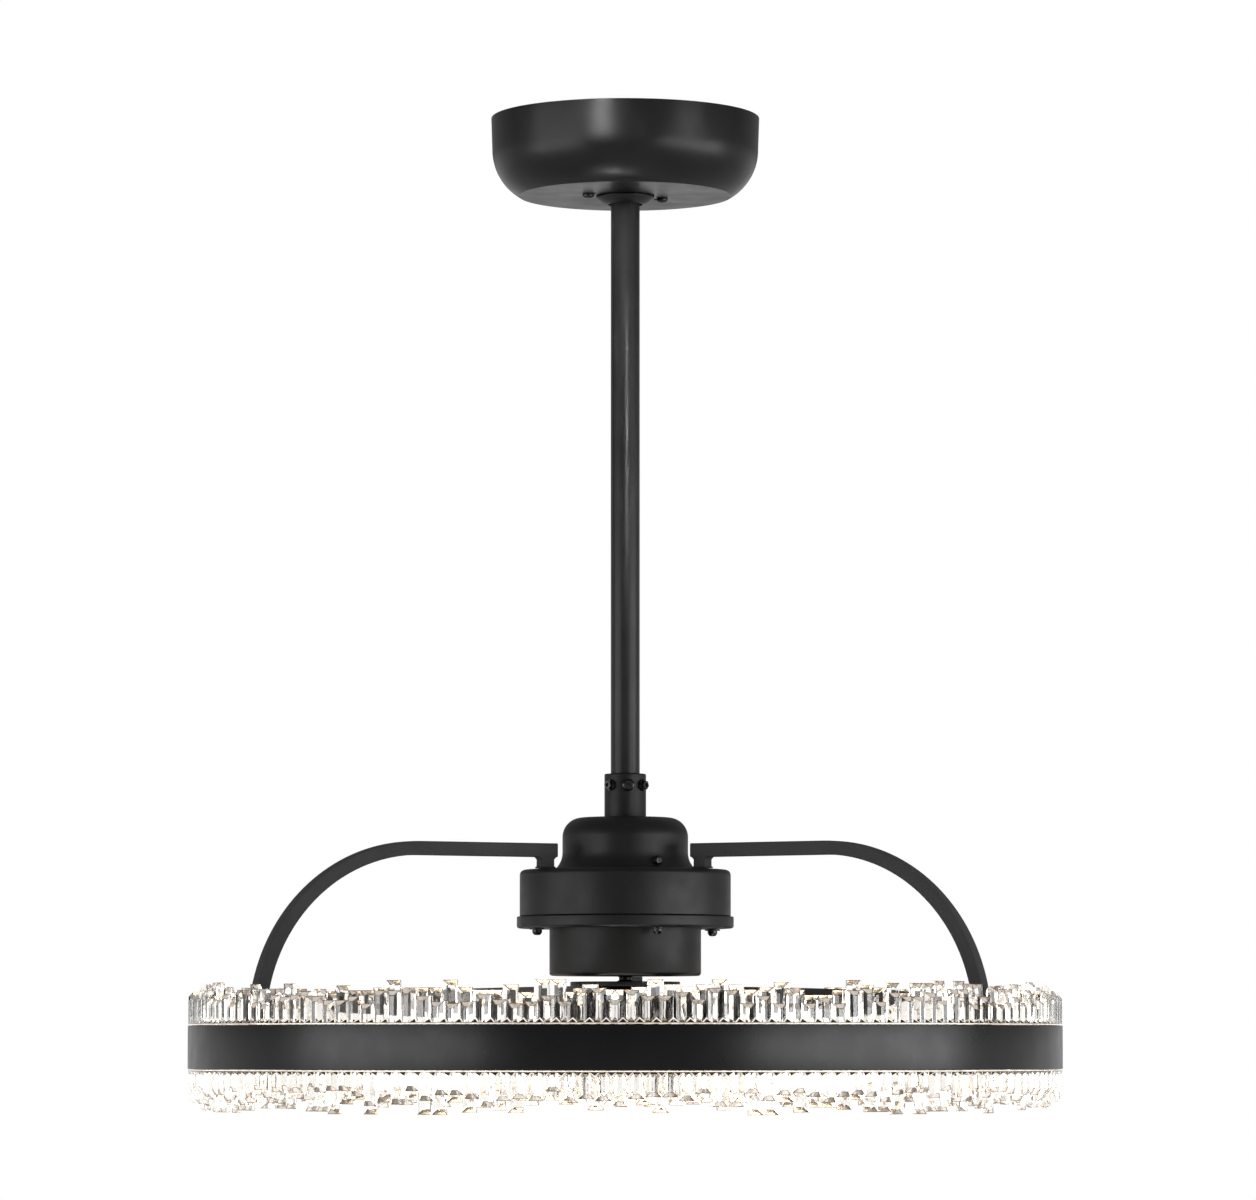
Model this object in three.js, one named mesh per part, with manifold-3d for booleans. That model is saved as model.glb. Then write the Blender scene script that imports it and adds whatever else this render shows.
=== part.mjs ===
// A ceiling fan inside a chandelier ring: canopy, downrod, motor, three swept arms, a lit ring with
// crystal crowns above and below, and four blades inside the ring.
// Millimetres. +Z is up, the origin is the middle of the bracket's top face, on the ceiling.
import * as THREE from "three";
import { mergeVertices } from "three/addons/utils/BufferGeometryUtils.js";
import Module from "manifold-3d";

const wasm = await Module();
wasm.setup();

// Shared clearances
const SEAT = 0.3; // between two pieces that touch
const OVERRUN = 1; // how far a cut runs past its piece

// Facet counts
const RING_FACETS = 48;
const STRIP_FACETS = 24;
const CANOPY_FACETS = 28;
const MOTOR_FACETS = 24;
const DOME_FACETS = 20;
const BEARING_FACETS = 12;
const TUBE_FACETS = 16;
const SCREW_FACETS = 6;
const HOLE_FACETS = 8;
const ARC_STEPS = 5;
const HIDDEN_ARC_STEPS = 2;
const SMALL_ARC_STEPS = 3;
const CLIP_ARC_STEPS = 8;

// Round heads of screws and pins
const HEAD_SIDE_SHARE = 0.55; // straight side, of the head's height
const HEAD_CROWN_SHARE = 0.72; // flat top, of the head's radius

// Bracket
const BRACKET_AZIMUTH = 23.4; // degrees
const BRACKET_PLATE = 2.5;
const CROSSBAR_LENGTH = 104;
const CROSSBAR_WIDTH = 28;
const CROSSBAR_CORNER = 6;
const BOX_SCREW_SPACING = 79.4;
const BOX_SLOT_LENGTH = 14.4;
const BOX_SLOT_WIDTH = 4.8;
const HANGER_SPAN = 62; // between the two legs
const HANGER_WIDTH = 26;
const HANGER_LEG_WIDTH = 22;

// Ball and socket
const BALL_R = 24;
const BALL_RISE = 23; // ball centre above the socket's flange
const BALL_TOP_SHARE = 0.34;
const BALL_FOOT_SHARE = 0.79;
const BALL_BORE_CLEARANCE = 0.9;
const SEAT_LOW_SHARE = 0.72;
const SEAT_HIGH_SHARE = 0.885;
const SOCKET_WALL = 2.2;
const SOCKET_FLANGE = 2;
const HANGER_PIN_SHARE = 0.9; // of the ball's width

// Canopy
const CANOPY_RIM_DROP = 0.5;
const CANOPY_RIM_R = 88.5;
const CANOPY_DRAFT = 0.7; // rim radius less the radius where the curve starts
const CANOPY_HEIGHT = 51.7;
const CANOPY_CURVE_R = 35.1;
const CANOPY_CURVE_ANGLE = 60.3; // degrees
const CANOPY_WALL = 1.2;
const CANOPY_HOLE_R = 17;
const CANOPY_SCREW_CIRCLE_R = 26.4;
const CANOPY_SCREW = { shank: 2, length: 7, head: 3.9, rise: 2.4 };
const KEYHOLE_OFFSET = 5.4; // the larger end of each screw's keyhole
const KEYHOLE_R = 3;

// Canopy collar
const COLLAR_RIM_R = 19.2;
const COLLAR_RIM_EDGE = 1.2;
const COLLAR_HEIGHT = 6.8;
const COLLAR_FOOT_WALL = 1.3;
const COLLAR_NECK_WALL = 1.5;
const COLLAR_NECK_RISE = 3;
const TILT_CLEARANCE = 1.8; // room for the rod to swing

// Remote receiver
const RECEIVER = { depth: 24, width: 60, height: 26, corner: 4 };
const RECEIVER_DROP = 1.5; // below the bracket's plate

// Downrod
const ROD_R = 9.525;
const ROD_BORE_R = 7.9;
const ROD_LENGTH = 457;
const ROD_ABOVE_BALL = 11.3;

// Coupling, its pin and set screws
const COUPLING_R = 13.65;
const COUPLING_GRIP = 39.7; // length of rod inside
const COUPLING_FOOT = 22.6; // from the rod's end to the base
const COUPLING_WIRE_R = 7;
const COUPLING_FLANGE_R = 30;
const COUPLING_FLANGE = 5;
const COUPLING_CHAMFER = 0.8;
const PIN_R = 3;
const PIN_DROP = 7.7; // below the coupling's top
const PIN_AZIMUTH = 278;
const PIN_HEAD = { r: 4.1, rise: 2 };
const PIN_TAIL = 4;
const PIN_GROOVE_R = 2.1;
const PIN_GROOVE_WIDTH = 1.4;
const CLIP_R = 5;
const CLIP_MOUTH_ANGLE = 50; // degrees
const SET_SCREW_AZIMUTHS = { coupling_screw_left: 228, coupling_screw_right: 322 };
const SET_SCREW = { shank: 2, nut: 3.9, nutHeight: 1.9, head: 3.1, headHeight: 1.7 };

// Dome over the coupling's base
const DOME_R = 41.15;
const DOME_HEIGHT = 33.9;
const DOME_SHOULDER_R = 12.8;
const DOME_WALL = 1.2;
const DOME_FLARE = 4.85;
const DOME_FLARE_HEIGHT = 11.9;
const DOME_FLARE_POWER = 2.4;
const DOME_FLARE_SHARES = [0, 0.25, 0.55, 1]; // of the flare's height, where the outline has points
const DOME_SCREW_RISE = 4.9;
const DOME_SCREW_AZIMUTHS = [298, 118];
const DOME_SCREW = { shank: 1.5, length: 8, head: 3.1, rise: 2 };
const DOME_LUG_ROOT_SHARE = 0.6; // of the flange's radius
const DOME_LUG_WIDTH = 10;
const DOME_LUG_HEIGHT = 8;

// Motor housing
const DRUM_R = 69.1;
const DRUM_HEIGHT = 30.3;
const DRUM_WALL = 1.5;
const DRUM_TOP = 2;
const DRUM_ROUNDING = 3.5;
const DRUM_WIRE_R = 8;
const DRUM_LEDGE = 2;
const DRUM_LEDGE_R = 55; // inner edge of the ledge that the cover screws into

// Motor cover
const COVER_R = 71;
const COVER_HEIGHT = 7.6;
const COVER_EDGE = 1.1;
const COVER_LEDGE = 3.9; // thickness under the cup's rim
const COVER_SCREW_CIRCLE_R = 61;
const COVER_SCREW_AZIMUTHS = [290, 20, 110, 200];
const COVER_SCREW = { shank: 2, length: 9.6, head: 3.2, rise: 3.6, washer: 5, washerHeight: 0.9 };

// Cup under the cover
const CUP_R = 49.6;
const CUP_DROP = 31; // below the cover
const CUP_WALL = 1.5;
const CUP_RIM = 1.5;
const CUP_ROUNDING = 2;
const CUP_FLOOR = 2;

// Shaft, bearings and bearing plate
const SHAFT_R = 6;
const BEARING_R = 14;
const BEARING_HEIGHT = 8;
const BEARING_SHOULDER_R = 9;
const BEARING_BOSS_WALL = 1.8;
const BEARING_GROOVE = 1;
const BEARING_RACE_SHARE = 0.3; // each race's share of the bearing's width
const BEARING_PLATE = 2.2;

// Stator and rotor
const STACK_HEIGHT = 16.5;
const STATOR_YOKE = 5;
const STATOR_TEETH = 6;
const TOOTH_WIDTH = 9;
const AIR_GAP = 0.7;
const COIL_THICKNESS = 1.8;
const COIL_CORD = 1.6; // ring of wire that joins the coils
const COIL_START_SHARE = 0.15; // of a tooth's length
const MAGNET_R = 23.4;
const MAGNET_WALL = 5;

// Light driver
const DRIVER = { length: 76, width: 25, height: 19, corner: 4 };
const DRIVER_OFFSET = 41.5; // its middle from the axis

// Arms
const ARM_AZIMUTHS = [208.4, 328.4, 88.4];
const ARM_BAR = 9;
const ARM_START_R = 52;
const ARM_REACH = 269.4; // outer face at the ring
const ARM_CURVE_R = 118; // outer face of the bend
const ARM_LEG = 14.3; // straight part, from the bend to the ring's mid height
const ARM_TAIL = 8; // below the ring's mid height
const ARM_CURVE_STEPS = 12;
const POST_R = 59; // middle of the post from the axis
const POST_WIDTH = 9;
const POST_HEIGHT = 7.2;
const POST_FILLET = 1.6;
const POST_FOOT = 0.8; // how far the foot stands out
const ARM_SCREW = { shank: 2, length: 8, head: 3.8, rise: 2.2 };

// Ring
const BAND_HEIGHT = 28.1;
const BAND_WALL = 1.8;
const RING_DEPTH = 15.5;
const CHANNEL_WALL = 1.5;
const CHANNEL_WEB = 1.5;
const STRIP_WIDTH = 7;
const STRIP_THICKNESS = 1.6;

// Crystal crowns
const CROWN_SEGMENTS = 6;
const PRISMS_PER_SEGMENT = 29;
const CROWN_SEAM_AZIMUTHS = { upper: 216, lower: 200 };
const CROWN_SETBACK = 0.3; // behind the band's face
const PRISM_RIDGE = 3.2;
const PRISM_SHORT = 12.5;
const PRISM_TALL = 26.9;
const PRISM_LEVELS = 9;
const PRISM_BEVEL = 2.8; // how far a ridge ends short of its column's flat end
const SCATTER_SHARE = 0.618034; // golden section, which scatters the heights

// Rotor
const HUB_GAP = 3.9; // under the cup
const HUB_R = 35.9;
const HUB_PLATE = 3;
const HUB_BOSS_R = 11;
const HUB_LENGTH = 18;
const CAP_R = 26;
const CAP_DEPTH = 17;
const CAP_WALL = 1.6;
const BLADES = 4;
const BLADE_AZIMUTH = 45; // degrees, of the first blade
const BLADE_ROOT_R = 13;
const BLADE_FLAT_R = 28; // end of the flat pad
const BLADE_FULL_R = 70; // where the pitch is reached
const BLADE_TIP_GAP = 24.3; // between a blade's tip and the ring
const BLADE_PAD_CHORD = 17;
const BLADE_CHORD = 70;
const BLADE_TIP_CHORD = 52;
const BLADE_THICKNESS = 3.2;
const BLADE_EDGE_SHARE = 0.35; // edge thickness
const BLADE_DROP = 9.6; // pitched part's middle below the pad's
const BLADE_PITCH_ANGLE = 18; // degrees, where the pitch is full
const BLADE_TWIST_ANGLE = 5; // degrees lost towards the tip
const BLADE_CAMBER_SHARE = 0.05; // of the chord
const BLADE_OUTLINE_SHARES = [-0.5, -0.2, 0.2, 0.5]; // of the chord, where the section has points
const BLADE_TIP_START_SHARE = 0.8; // of the pitched length, where the tip starts to round
const BLADE_TIP_LOSS_SHARE = 0.6; // how much of the chord's square the rounding takes
const BLADE_STATIONS = 9;

// Levels, from the ceiling down
const canopyBottomZ = -CANOPY_RIM_DROP - CANOPY_HEIGHT;
const socketBottomZ = canopyBottomZ + CANOPY_WALL + SEAT;
const ballZ = socketBottomZ + BALL_RISE;
const rodTopZ = ballZ + ROD_ABOVE_BALL;
const rodEndZ = rodTopZ - ROD_LENGTH;
const couplingTopZ = rodEndZ + COUPLING_GRIP;
const couplingBaseZ = rodEndZ - SEAT - COUPLING_FOOT;
const pinZ = couplingTopZ - PIN_DROP;
const drumTopZ = couplingBaseZ - SEAT;
const coverTopZ = drumTopZ - DRUM_HEIGHT - SEAT;
const coverBottomZ = coverTopZ - COVER_HEIGHT;
const cupBottomZ = coverBottomZ - CUP_DROP;
const cupRimZ = coverBottomZ + COVER_LEDGE + SEAT + CUP_RIM;
const plateTopZ = cupRimZ + SEAT + BEARING_PLATE;
const armTopZ = drumTopZ + SEAT + POST_HEIGHT + ARM_BAR;
const ringZ = armTopZ - ARM_CURVE_R - ARM_LEG;
const hubTopZ = cupBottomZ - HUB_GAP;

// Sizes that follow from others
const rodHoleR = PIN_R + SEAT;
const ringInnerR = ARM_REACH + SEAT;
const ringOuterR = ringInnerR + RING_DEPTH;
const bladeTipR = ringInnerR - BLADE_TIP_GAP;
const cupInnerR = CUP_R - CUP_WALL;
const shaftHoleR = SHAFT_R + SEAT;
const bearingPocketR = BEARING_R + SEAT;
const bearingBossR = bearingPocketR + BEARING_BOSS_WALL;
const cupBossTopZ = cupBottomZ + CUP_FLOOR + SEAT + BEARING_HEIGHT;
const plateBossZ = plateTopZ - BEARING_PLATE - SEAT - BEARING_HEIGHT;
const stackZ = (cupBossTopZ + plateBossZ) / 2;
const statorR = cupInnerR - SEAT;
const statorBoreR = MAGNET_R + AIR_GAP;

const blackMetal = new THREE.MeshStandardMaterial({ color: 0x1b1b1c, roughness: 0.48, metalness: 0.35 });
const blackPlastic = new THREE.MeshStandardMaterial({ color: 0x17171a, roughness: 0.55, metalness: 0 });
const steel = new THREE.MeshStandardMaterial({ color: 0x9a9da1, roughness: 0.35, metalness: 1 });
const crystal = new THREE.MeshStandardMaterial({ color: 0xf6f8fa, roughness: 0.05, metalness: 0 });
const copper = new THREE.MeshStandardMaterial({ color: 0xb06a3a, roughness: 0.4, metalness: 1 });
const magnet = new THREE.MeshStandardMaterial({ color: 0x46484c, roughness: 0.5, metalness: 0.6 });
const lamp = new THREE.MeshStandardMaterial({ color: 0xfff4dc, roughness: 0.5, metalness: 0 });
const casing = new THREE.MeshStandardMaterial({ color: 0xd9dadb, roughness: 0.5, metalness: 0 });

const radians = (degrees) => (degrees * Math.PI) / 180;
const mix = (a, b, share) => a + (b - a) * share;
const smooth = (share) => share * share * (3 - 2 * share);

// A closed solid from a three.js geometry, with its faces turned outwards.
function solid(geometry) {
  const bare = geometry.clone();
  bare.deleteAttribute("normal");
  bare.deleteAttribute("uv");
  const merged = mergeVertices(bare, 1e-4);
  const position = merged.getAttribute("position");
  const corners = [0, 1, 2].map(() => new THREE.Vector3());
  const triangles = [];
  let volume = 0;
  for (let i = 0; i < merged.index.count; i += 3) {
    const [a, b, c] = [0, 1, 2].map((k) => merged.index.getX(i + k));
    if (a === b || b === c || c === a) continue;
    triangles.push(a, b, c);
    [a, b, c].forEach((vertex, k) => corners[k].fromBufferAttribute(position, vertex));
    volume += corners[0].dot(corners[1].cross(corners[2]));
  }
  if (volume < 0) {
    triangles.reverse();
  }
  const mesh = new wasm.Mesh({
    numProp: 3,
    vertProperties: new Float32Array(position.array),
    triVerts: new Uint32Array(triangles),
  });
  return new wasm.Manifold(mesh);
}

// A three.js geometry from a solid.
function geometryOf(body) {
  const mesh = body.getMesh();
  const geometry = new THREE.BufferGeometry();
  geometry.setAttribute("position", new THREE.BufferAttribute(mesh.vertProperties, mesh.numProp));
  geometry.setIndex(new THREE.BufferAttribute(mesh.triVerts, 1));
  geometry.computeVertexNormals();
  return geometry;
}

const cut = (body, ...tools) => tools.reduce((left, tool) => left.subtract(solid(tool)), body);
const join = (body, ...more) => more.reduce((left, next) => left.add(next), body);

// A closed outline of [radius, height] points turned about Z.
function revolved(outline, facets) {
  const points = [...outline, outline[0]].map(([r, z]) => new THREE.Vector2(r, z));
  return new THREE.LatheGeometry(points, facets).rotateX(Math.PI / 2);
}

// Points of an arc in the radius and height plane, angles in degrees.
function arc(r, z, radius, from, to, steps = ARC_STEPS) {
  return Array.from({ length: steps + 1 }, (_, i) => {
    const angle = radians(mix(from, to, i / steps));
    return [r + radius * Math.cos(angle), z + radius * Math.sin(angle)];
  });
}

// A round bar along Z between two heights.
function bar(radius, low, high, facets = HOLE_FACETS) {
  const geometry = new THREE.CylinderGeometry(radius, radius, high - low, facets);
  return geometry.rotateX(Math.PI / 2).translate(0, 0, (low + high) / 2);
}

// A round bar along X between two distances from the axis, at a height and an azimuth.
function spoke(radius, near, far, z, azimuth, facets = HOLE_FACETS) {
  const turned = bar(radius, near, far, facets).rotateY(Math.PI / 2);
  return turned.translate(0, 0, z).rotateZ(radians(azimuth));
}

function block([x0, x1], [y0, y1], [z0, z1]) {
  const geometry = new THREE.BoxGeometry(x1 - x0, y1 - y0, z1 - z0);
  return geometry.translate((x0 + x1) / 2, (y0 + y1) / 2, (z0 + z1) / 2);
}

// A rectangle with round corners, centred on the origin.
function roundedRectangle(width, height, corner) {
  const [x, y] = [width / 2 - corner, height / 2 - corner];
  const shape = new THREE.Shape();
  shape.absarc(x, y, corner, 0, Math.PI / 2);
  shape.absarc(-x, y, corner, Math.PI / 2, Math.PI);
  shape.absarc(-x, -y, corner, Math.PI, (3 * Math.PI) / 2);
  shape.absarc(x, -y, corner, (3 * Math.PI) / 2, 2 * Math.PI);
  return shape;
}

function slab(shape, low, high, curveSegments = SMALL_ARC_STEPS) {
  const options = { depth: high - low, bevelEnabled: false, curveSegments };
  return new THREE.ExtrudeGeometry(shape, options).translate(0, 0, low);
}

// Outline of a round head from its side to its middle, between its face and its top.
function headOutline(radius, face, top) {
  return [
    [radius, mix(face, top, HEAD_SIDE_SHARE)],
    [radius * HEAD_CROWN_SHARE, top],
    [0, top],
  ];
}

// A pan-head screw that points up, with its head's face at zero, or its washer's.
function screw({ shank, length, head, rise, washer = 0, washerHeight = 0 }) {
  const lip = [
    [washer, 0],
    [washer, -washerHeight],
  ];
  return revolved(
    [
      [0, length],
      [shank, length],
      [shank, 0],
      ...(washer ? lip : []),
      [head, -washerHeight],
      ...headOutline(head, -washerHeight, -washerHeight - rise),
    ],
    SCREW_FACETS,
  );
}

const fan = new THREE.Group();

function place(parent, name, body, material, { x = 0, y = 0, z = 0, turn = 0 } = {}) {
  const mesh = new THREE.Mesh(geometryOf(body), material);
  mesh.name = name;
  mesh.position.set(x, y, z);
  mesh.rotation.z = radians(turn);
  parent.add(mesh);
  return mesh;
}

// A group turned about Z whose pieces use its own X as the radial direction.
function turnedGroup(parent, azimuth, z = 0) {
  const group = new THREE.Group();
  group.rotation.z = radians(azimuth);
  group.position.z = z;
  parent.add(group);
  return group;
}

// Bracket: a crossbar for the outlet box and a hanger that ends in the ball's socket
function bracketSolid() {
  const shape = roundedRectangle(CROSSBAR_WIDTH, CROSSBAR_LENGTH, CROSSBAR_CORNER);
  for (const side of [-1, 1]) {
    const slot = new THREE.Path();
    const middle = (side * BOX_SCREW_SPACING) / 2;
    const [end, half] = [(BOX_SLOT_LENGTH - BOX_SLOT_WIDTH) / 2, BOX_SLOT_WIDTH / 2];
    slot.absarc(0, middle + end, half, 0, Math.PI);
    slot.absarc(0, middle - end, half, Math.PI, 2 * Math.PI);
    shape.holes.push(slot);
  }
  const halfSpan = HANGER_SPAN / 2;
  const outside = halfSpan + BRACKET_PLATE;
  const halfWidth = HANGER_WIDTH / 2;
  const top = block([-outside, outside], [-halfWidth, halfWidth], [-BRACKET_PLATE, 0]);
  const halfLeg = HANGER_LEG_WIDTH / 2;
  const legs = [1, -1].map((side) => {
    const across = [halfSpan, outside].map((x) => side * x).sort((a, b) => a - b);
    return solid(block(across, [-halfLeg, halfLeg], [socketBottomZ, 0]));
  });
  const seatR = BALL_R + SEAT;
  const low = -THREE.MathUtils.radToDeg(Math.acos(SEAT_LOW_SHARE));
  const high = -THREE.MathUtils.radToDeg(Math.acos(SEAT_HIGH_SHARE));
  const seat = arc(0, ballZ, seatR, low, high, SMALL_ARC_STEPS);
  const wallR = seatR * SEAT_HIGH_SHARE + SOCKET_WALL;
  const flangeZ = socketBottomZ + SOCKET_FLANGE;
  const socket = revolved(
    [
      ...seat,
      [wallR, seat.at(-1)[1]],
      [wallR, flangeZ],
      [outside, flangeZ],
      [outside, socketBottomZ],
      [seat[0][0] + SOCKET_WALL, socketBottomZ],
    ],
    TUBE_FACETS,
  );
  const body = join(solid(slab(shape, -BRACKET_PLATE, 0)), solid(top), ...legs, solid(socket));
  const holes = [1, -1].map((side) =>
    bar(CANOPY_SCREW.shank + SEAT, socketBottomZ - OVERRUN, flangeZ + OVERRUN).translate(
      side * CANOPY_SCREW_CIRCLE_R,
      0,
      0,
    ),
  );
  return cut(body, ...holes);
}

function canopySolid() {
  const startR = CANOPY_RIM_R - CANOPY_DRAFT;
  const depth = CANOPY_CURVE_R * Math.sin(radians(CANOPY_CURVE_ANGLE));
  const startZ = canopyBottomZ + depth;
  const centreR = startR - CANOPY_CURVE_R;
  const innerR = CANOPY_CURVE_R - CANOPY_WALL;
  const innerSweep = THREE.MathUtils.radToDeg(Math.asin((depth - CANOPY_WALL) / innerR));
  const outline = [
    [CANOPY_RIM_R, -CANOPY_RIM_DROP],
    ...arc(centreR, startZ, CANOPY_CURVE_R, 0, -CANOPY_CURVE_ANGLE),
    [CANOPY_HOLE_R, canopyBottomZ],
    [CANOPY_HOLE_R, canopyBottomZ + CANOPY_WALL],
    ...arc(centreR, startZ, innerR, -innerSweep, 0, HIDDEN_ARC_STEPS),
    [CANOPY_RIM_R - CANOPY_WALL, -CANOPY_RIM_DROP],
  ];
  const holes = [1, -1].flatMap((side) => {
    const through = [canopyBottomZ - OVERRUN, canopyBottomZ + CANOPY_WALL + OVERRUN];
    const narrow = bar(CANOPY_SCREW.shank + SEAT, ...through);
    const wide = bar(KEYHOLE_R, ...through);
    const away = (side * KEYHOLE_OFFSET) / CANOPY_SCREW_CIRCLE_R;
    return [
      narrow.translate(side * CANOPY_SCREW_CIRCLE_R, 0, 0),
      wide.translate(side * CANOPY_SCREW_CIRCLE_R, 0, 0).rotateZ(Math.abs(away)),
    ];
  });
  return cut(solid(revolved(outline, CANOPY_FACETS)), ...holes);
}

function collarSolid() {
  const topZ = canopyBottomZ - SEAT;
  const footZ = topZ - COLLAR_HEIGHT;
  const boreR = ROD_R + TILT_CLEARANCE;
  const neckR = CANOPY_HOLE_R - SEAT;
  const neckTopZ = canopyBottomZ + COLLAR_NECK_RISE;
  const outline = [
    [boreR, footZ],
    [boreR + COLLAR_FOOT_WALL, footZ],
    [COLLAR_RIM_R, topZ - COLLAR_RIM_EDGE],
    [COLLAR_RIM_R, topZ],
    [neckR, topZ],
    [neckR, neckTopZ],
    [neckR - COLLAR_NECK_WALL, neckTopZ],
    [neckR - COLLAR_NECK_WALL, topZ - COLLAR_RIM_EDGE],
    [boreR, footZ + COLLAR_RIM_EDGE],
  ];
  return solid(revolved(outline, TUBE_FACETS));
}

function ceilingPieces() {
  const ceiling = turnedGroup(fan, BRACKET_AZIMUTH);
  place(ceiling, "ceiling_bracket", bracketSolid(), steel);
  place(ceiling, "canopy", canopySolid(), blackMetal);
  place(ceiling, "canopy_collar", collarSolid(), blackPlastic);
  [1, -1].forEach((side, i) => {
    const at = { x: side * CANOPY_SCREW_CIRCLE_R, z: canopyBottomZ - SEAT };
    place(ceiling, `canopy_screw_${i + 1}`, solid(screw(CANOPY_SCREW)), blackMetal, at);
  });
  const { depth, width, height, corner } = RECEIVER;
  const top = -BRACKET_PLATE - RECEIVER_DROP;
  const receiver = slab(roundedRectangle(depth, width, corner), top - height, top);
  const x = -HANGER_SPAN / 2 - BRACKET_PLATE - SEAT - depth / 2;
  place(ceiling, "remote_receiver", solid(receiver), casing, { x });
}

// The ball that hangs in the socket, bored for the rod and for the pin that carries it
function ballSolid() {
  const top = BALL_R * BALL_TOP_SHARE;
  const foot = -BALL_R * BALL_FOOT_SHARE;
  const boreR = ROD_R + BALL_BORE_CLEARANCE;
  const [low, high] = [foot, top].map((z) => THREE.MathUtils.radToDeg(Math.asin(z / BALL_R)));
  const outline = [[boreR, foot], ...arc(0, 0, BALL_R, low, high), [boreR, top]];
  const across = bar(rodHoleR, -BALL_R - OVERRUN, BALL_R + OVERRUN).rotateY(Math.PI / 2);
  return cut(solid(revolved(outline, TUBE_FACETS)), across);
}

function rodSolid() {
  const outline = [
    [ROD_BORE_R, rodEndZ],
    [ROD_R, rodEndZ],
    [ROD_R, rodTopZ],
    [ROD_BORE_R, rodTopZ],
  ];
  const reach = ROD_R + OVERRUN;
  return cut(
    solid(revolved(outline, TUBE_FACETS)),
    spoke(rodHoleR, -reach, reach, ballZ, 0),
    spoke(rodHoleR, -reach, reach, pinZ, PIN_AZIMUTH),
  );
}

// The coupling clamps the rod, stands on the motor housing and carries the dome's two screws
function couplingSolid() {
  const boreR = ROD_R + SEAT;
  const outline = [
    [COUPLING_WIRE_R, couplingBaseZ],
    [COUPLING_FLANGE_R, couplingBaseZ],
    [COUPLING_FLANGE_R, couplingBaseZ + COUPLING_FLANGE],
    [COUPLING_R, couplingBaseZ + COUPLING_FLANGE],
    [COUPLING_R, couplingTopZ - COUPLING_CHAMFER],
    [COUPLING_R - COUPLING_CHAMFER, couplingTopZ],
    [boreR, couplingTopZ],
    [boreR, rodEndZ - SEAT],
    [COUPLING_WIRE_R, rodEndZ - SEAT],
  ];
  const screwZ = couplingBaseZ + DOME_SCREW_RISE;
  const halfWidth = DOME_LUG_WIDTH / 2;
  const domeFlatR = (DOME_R - DOME_WALL) * Math.cos(Math.PI / DOME_FACETS);
  const lugEnd = Math.sqrt((domeFlatR - SEAT) ** 2 - halfWidth ** 2);
  const halfHeight = DOME_LUG_HEIGHT / 2;
  const lugs = DOME_SCREW_AZIMUTHS.map((azimuth) => {
    const across = [COUPLING_FLANGE_R * DOME_LUG_ROOT_SHARE, lugEnd];
    const lug = block(across, [-halfWidth, halfWidth], [screwZ - halfHeight, screwZ + halfHeight]);
    return solid(lug.rotateZ(radians(azimuth)));
  });
  const lugHoles = DOME_SCREW_AZIMUTHS.map((azimuth) => {
    const depth = lugEnd - DOME_SCREW.length;
    return spoke(DOME_SCREW.shank + SEAT, depth, lugEnd + OVERRUN, screwZ, azimuth);
  });
  const reach = COUPLING_R + OVERRUN;
  const setHoles = Object.values(SET_SCREW_AZIMUTHS).map((azimuth) =>
    spoke(SET_SCREW.shank + SEAT, ROD_R, reach, pinZ, azimuth),
  );
  const pinHole = spoke(rodHoleR, -reach, reach, pinZ, PIN_AZIMUTH);
  const body = join(solid(revolved(outline, TUBE_FACETS)), ...lugs);
  return cut(body, pinHole, ...lugHoles, ...setHoles);
}

// The pin lies along X with its head outwards and a groove for the clip at its tail.
function couplingPinSolid() {
  const faceX = COUPLING_R + SEAT;
  const outline = [
    [0, -faceX - PIN_TAIL],
    [PIN_R, -faceX - PIN_TAIL],
    [PIN_R, -faceX - PIN_GROOVE_WIDTH],
    [PIN_GROOVE_R, -faceX - PIN_GROOVE_WIDTH],
    [PIN_GROOVE_R, -faceX],
    [PIN_R, -faceX],
    [PIN_R, faceX],
    [PIN_HEAD.r, faceX],
    ...headOutline(PIN_HEAD.r, faceX, faceX + PIN_HEAD.rise),
  ];
  return solid(revolved(outline, HOLE_FACETS).rotateY(Math.PI / 2));
}

function clipSolid() {
  const shape = new THREE.Shape();
  const half = radians(CLIP_MOUTH_ANGLE / 2);
  const innerR = PIN_GROOVE_R + SEAT;
  shape.absarc(0, 0, CLIP_R, half, 2 * Math.PI - half, false);
  shape.absarc(0, 0, innerR, 2 * Math.PI - half, half, true);
  const thickness = PIN_GROOVE_WIDTH - 2 * SEAT;
  const low = -COUPLING_R - SEAT - PIN_GROOVE_WIDTH + SEAT;
  const clip = slab(shape, low, low + thickness, CLIP_ARC_STEPS);
  return solid(clip.rotateY(Math.PI / 2));
}

// A set screw with its lock nut run down against the coupling.
function setScrewSolid() {
  const { shank, nut, nutHeight, head, headHeight } = SET_SCREW;
  const tip = ROD_R + SEAT;
  const face = COUPLING_R + SEAT;
  const top = face + nutHeight + headHeight;
  const body = bar(shank, tip, top - headHeight, SCREW_FACETS);
  const lockNut = bar(nut, face, face + nutHeight, SCREW_FACETS);
  const cap = bar(head, top - headHeight, top, SCREW_FACETS);
  const along = join(solid(body), solid(lockNut), solid(cap));
  return solid(geometryOf(along).rotateY(Math.PI / 2));
}

// Outer radius of the dome at a height above its base.
function domeRadius(rise) {
  const share = Math.max(0, 1 - rise / DOME_FLARE_HEIGHT);
  return DOME_R + DOME_FLARE * share ** DOME_FLARE_POWER;
}

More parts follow.
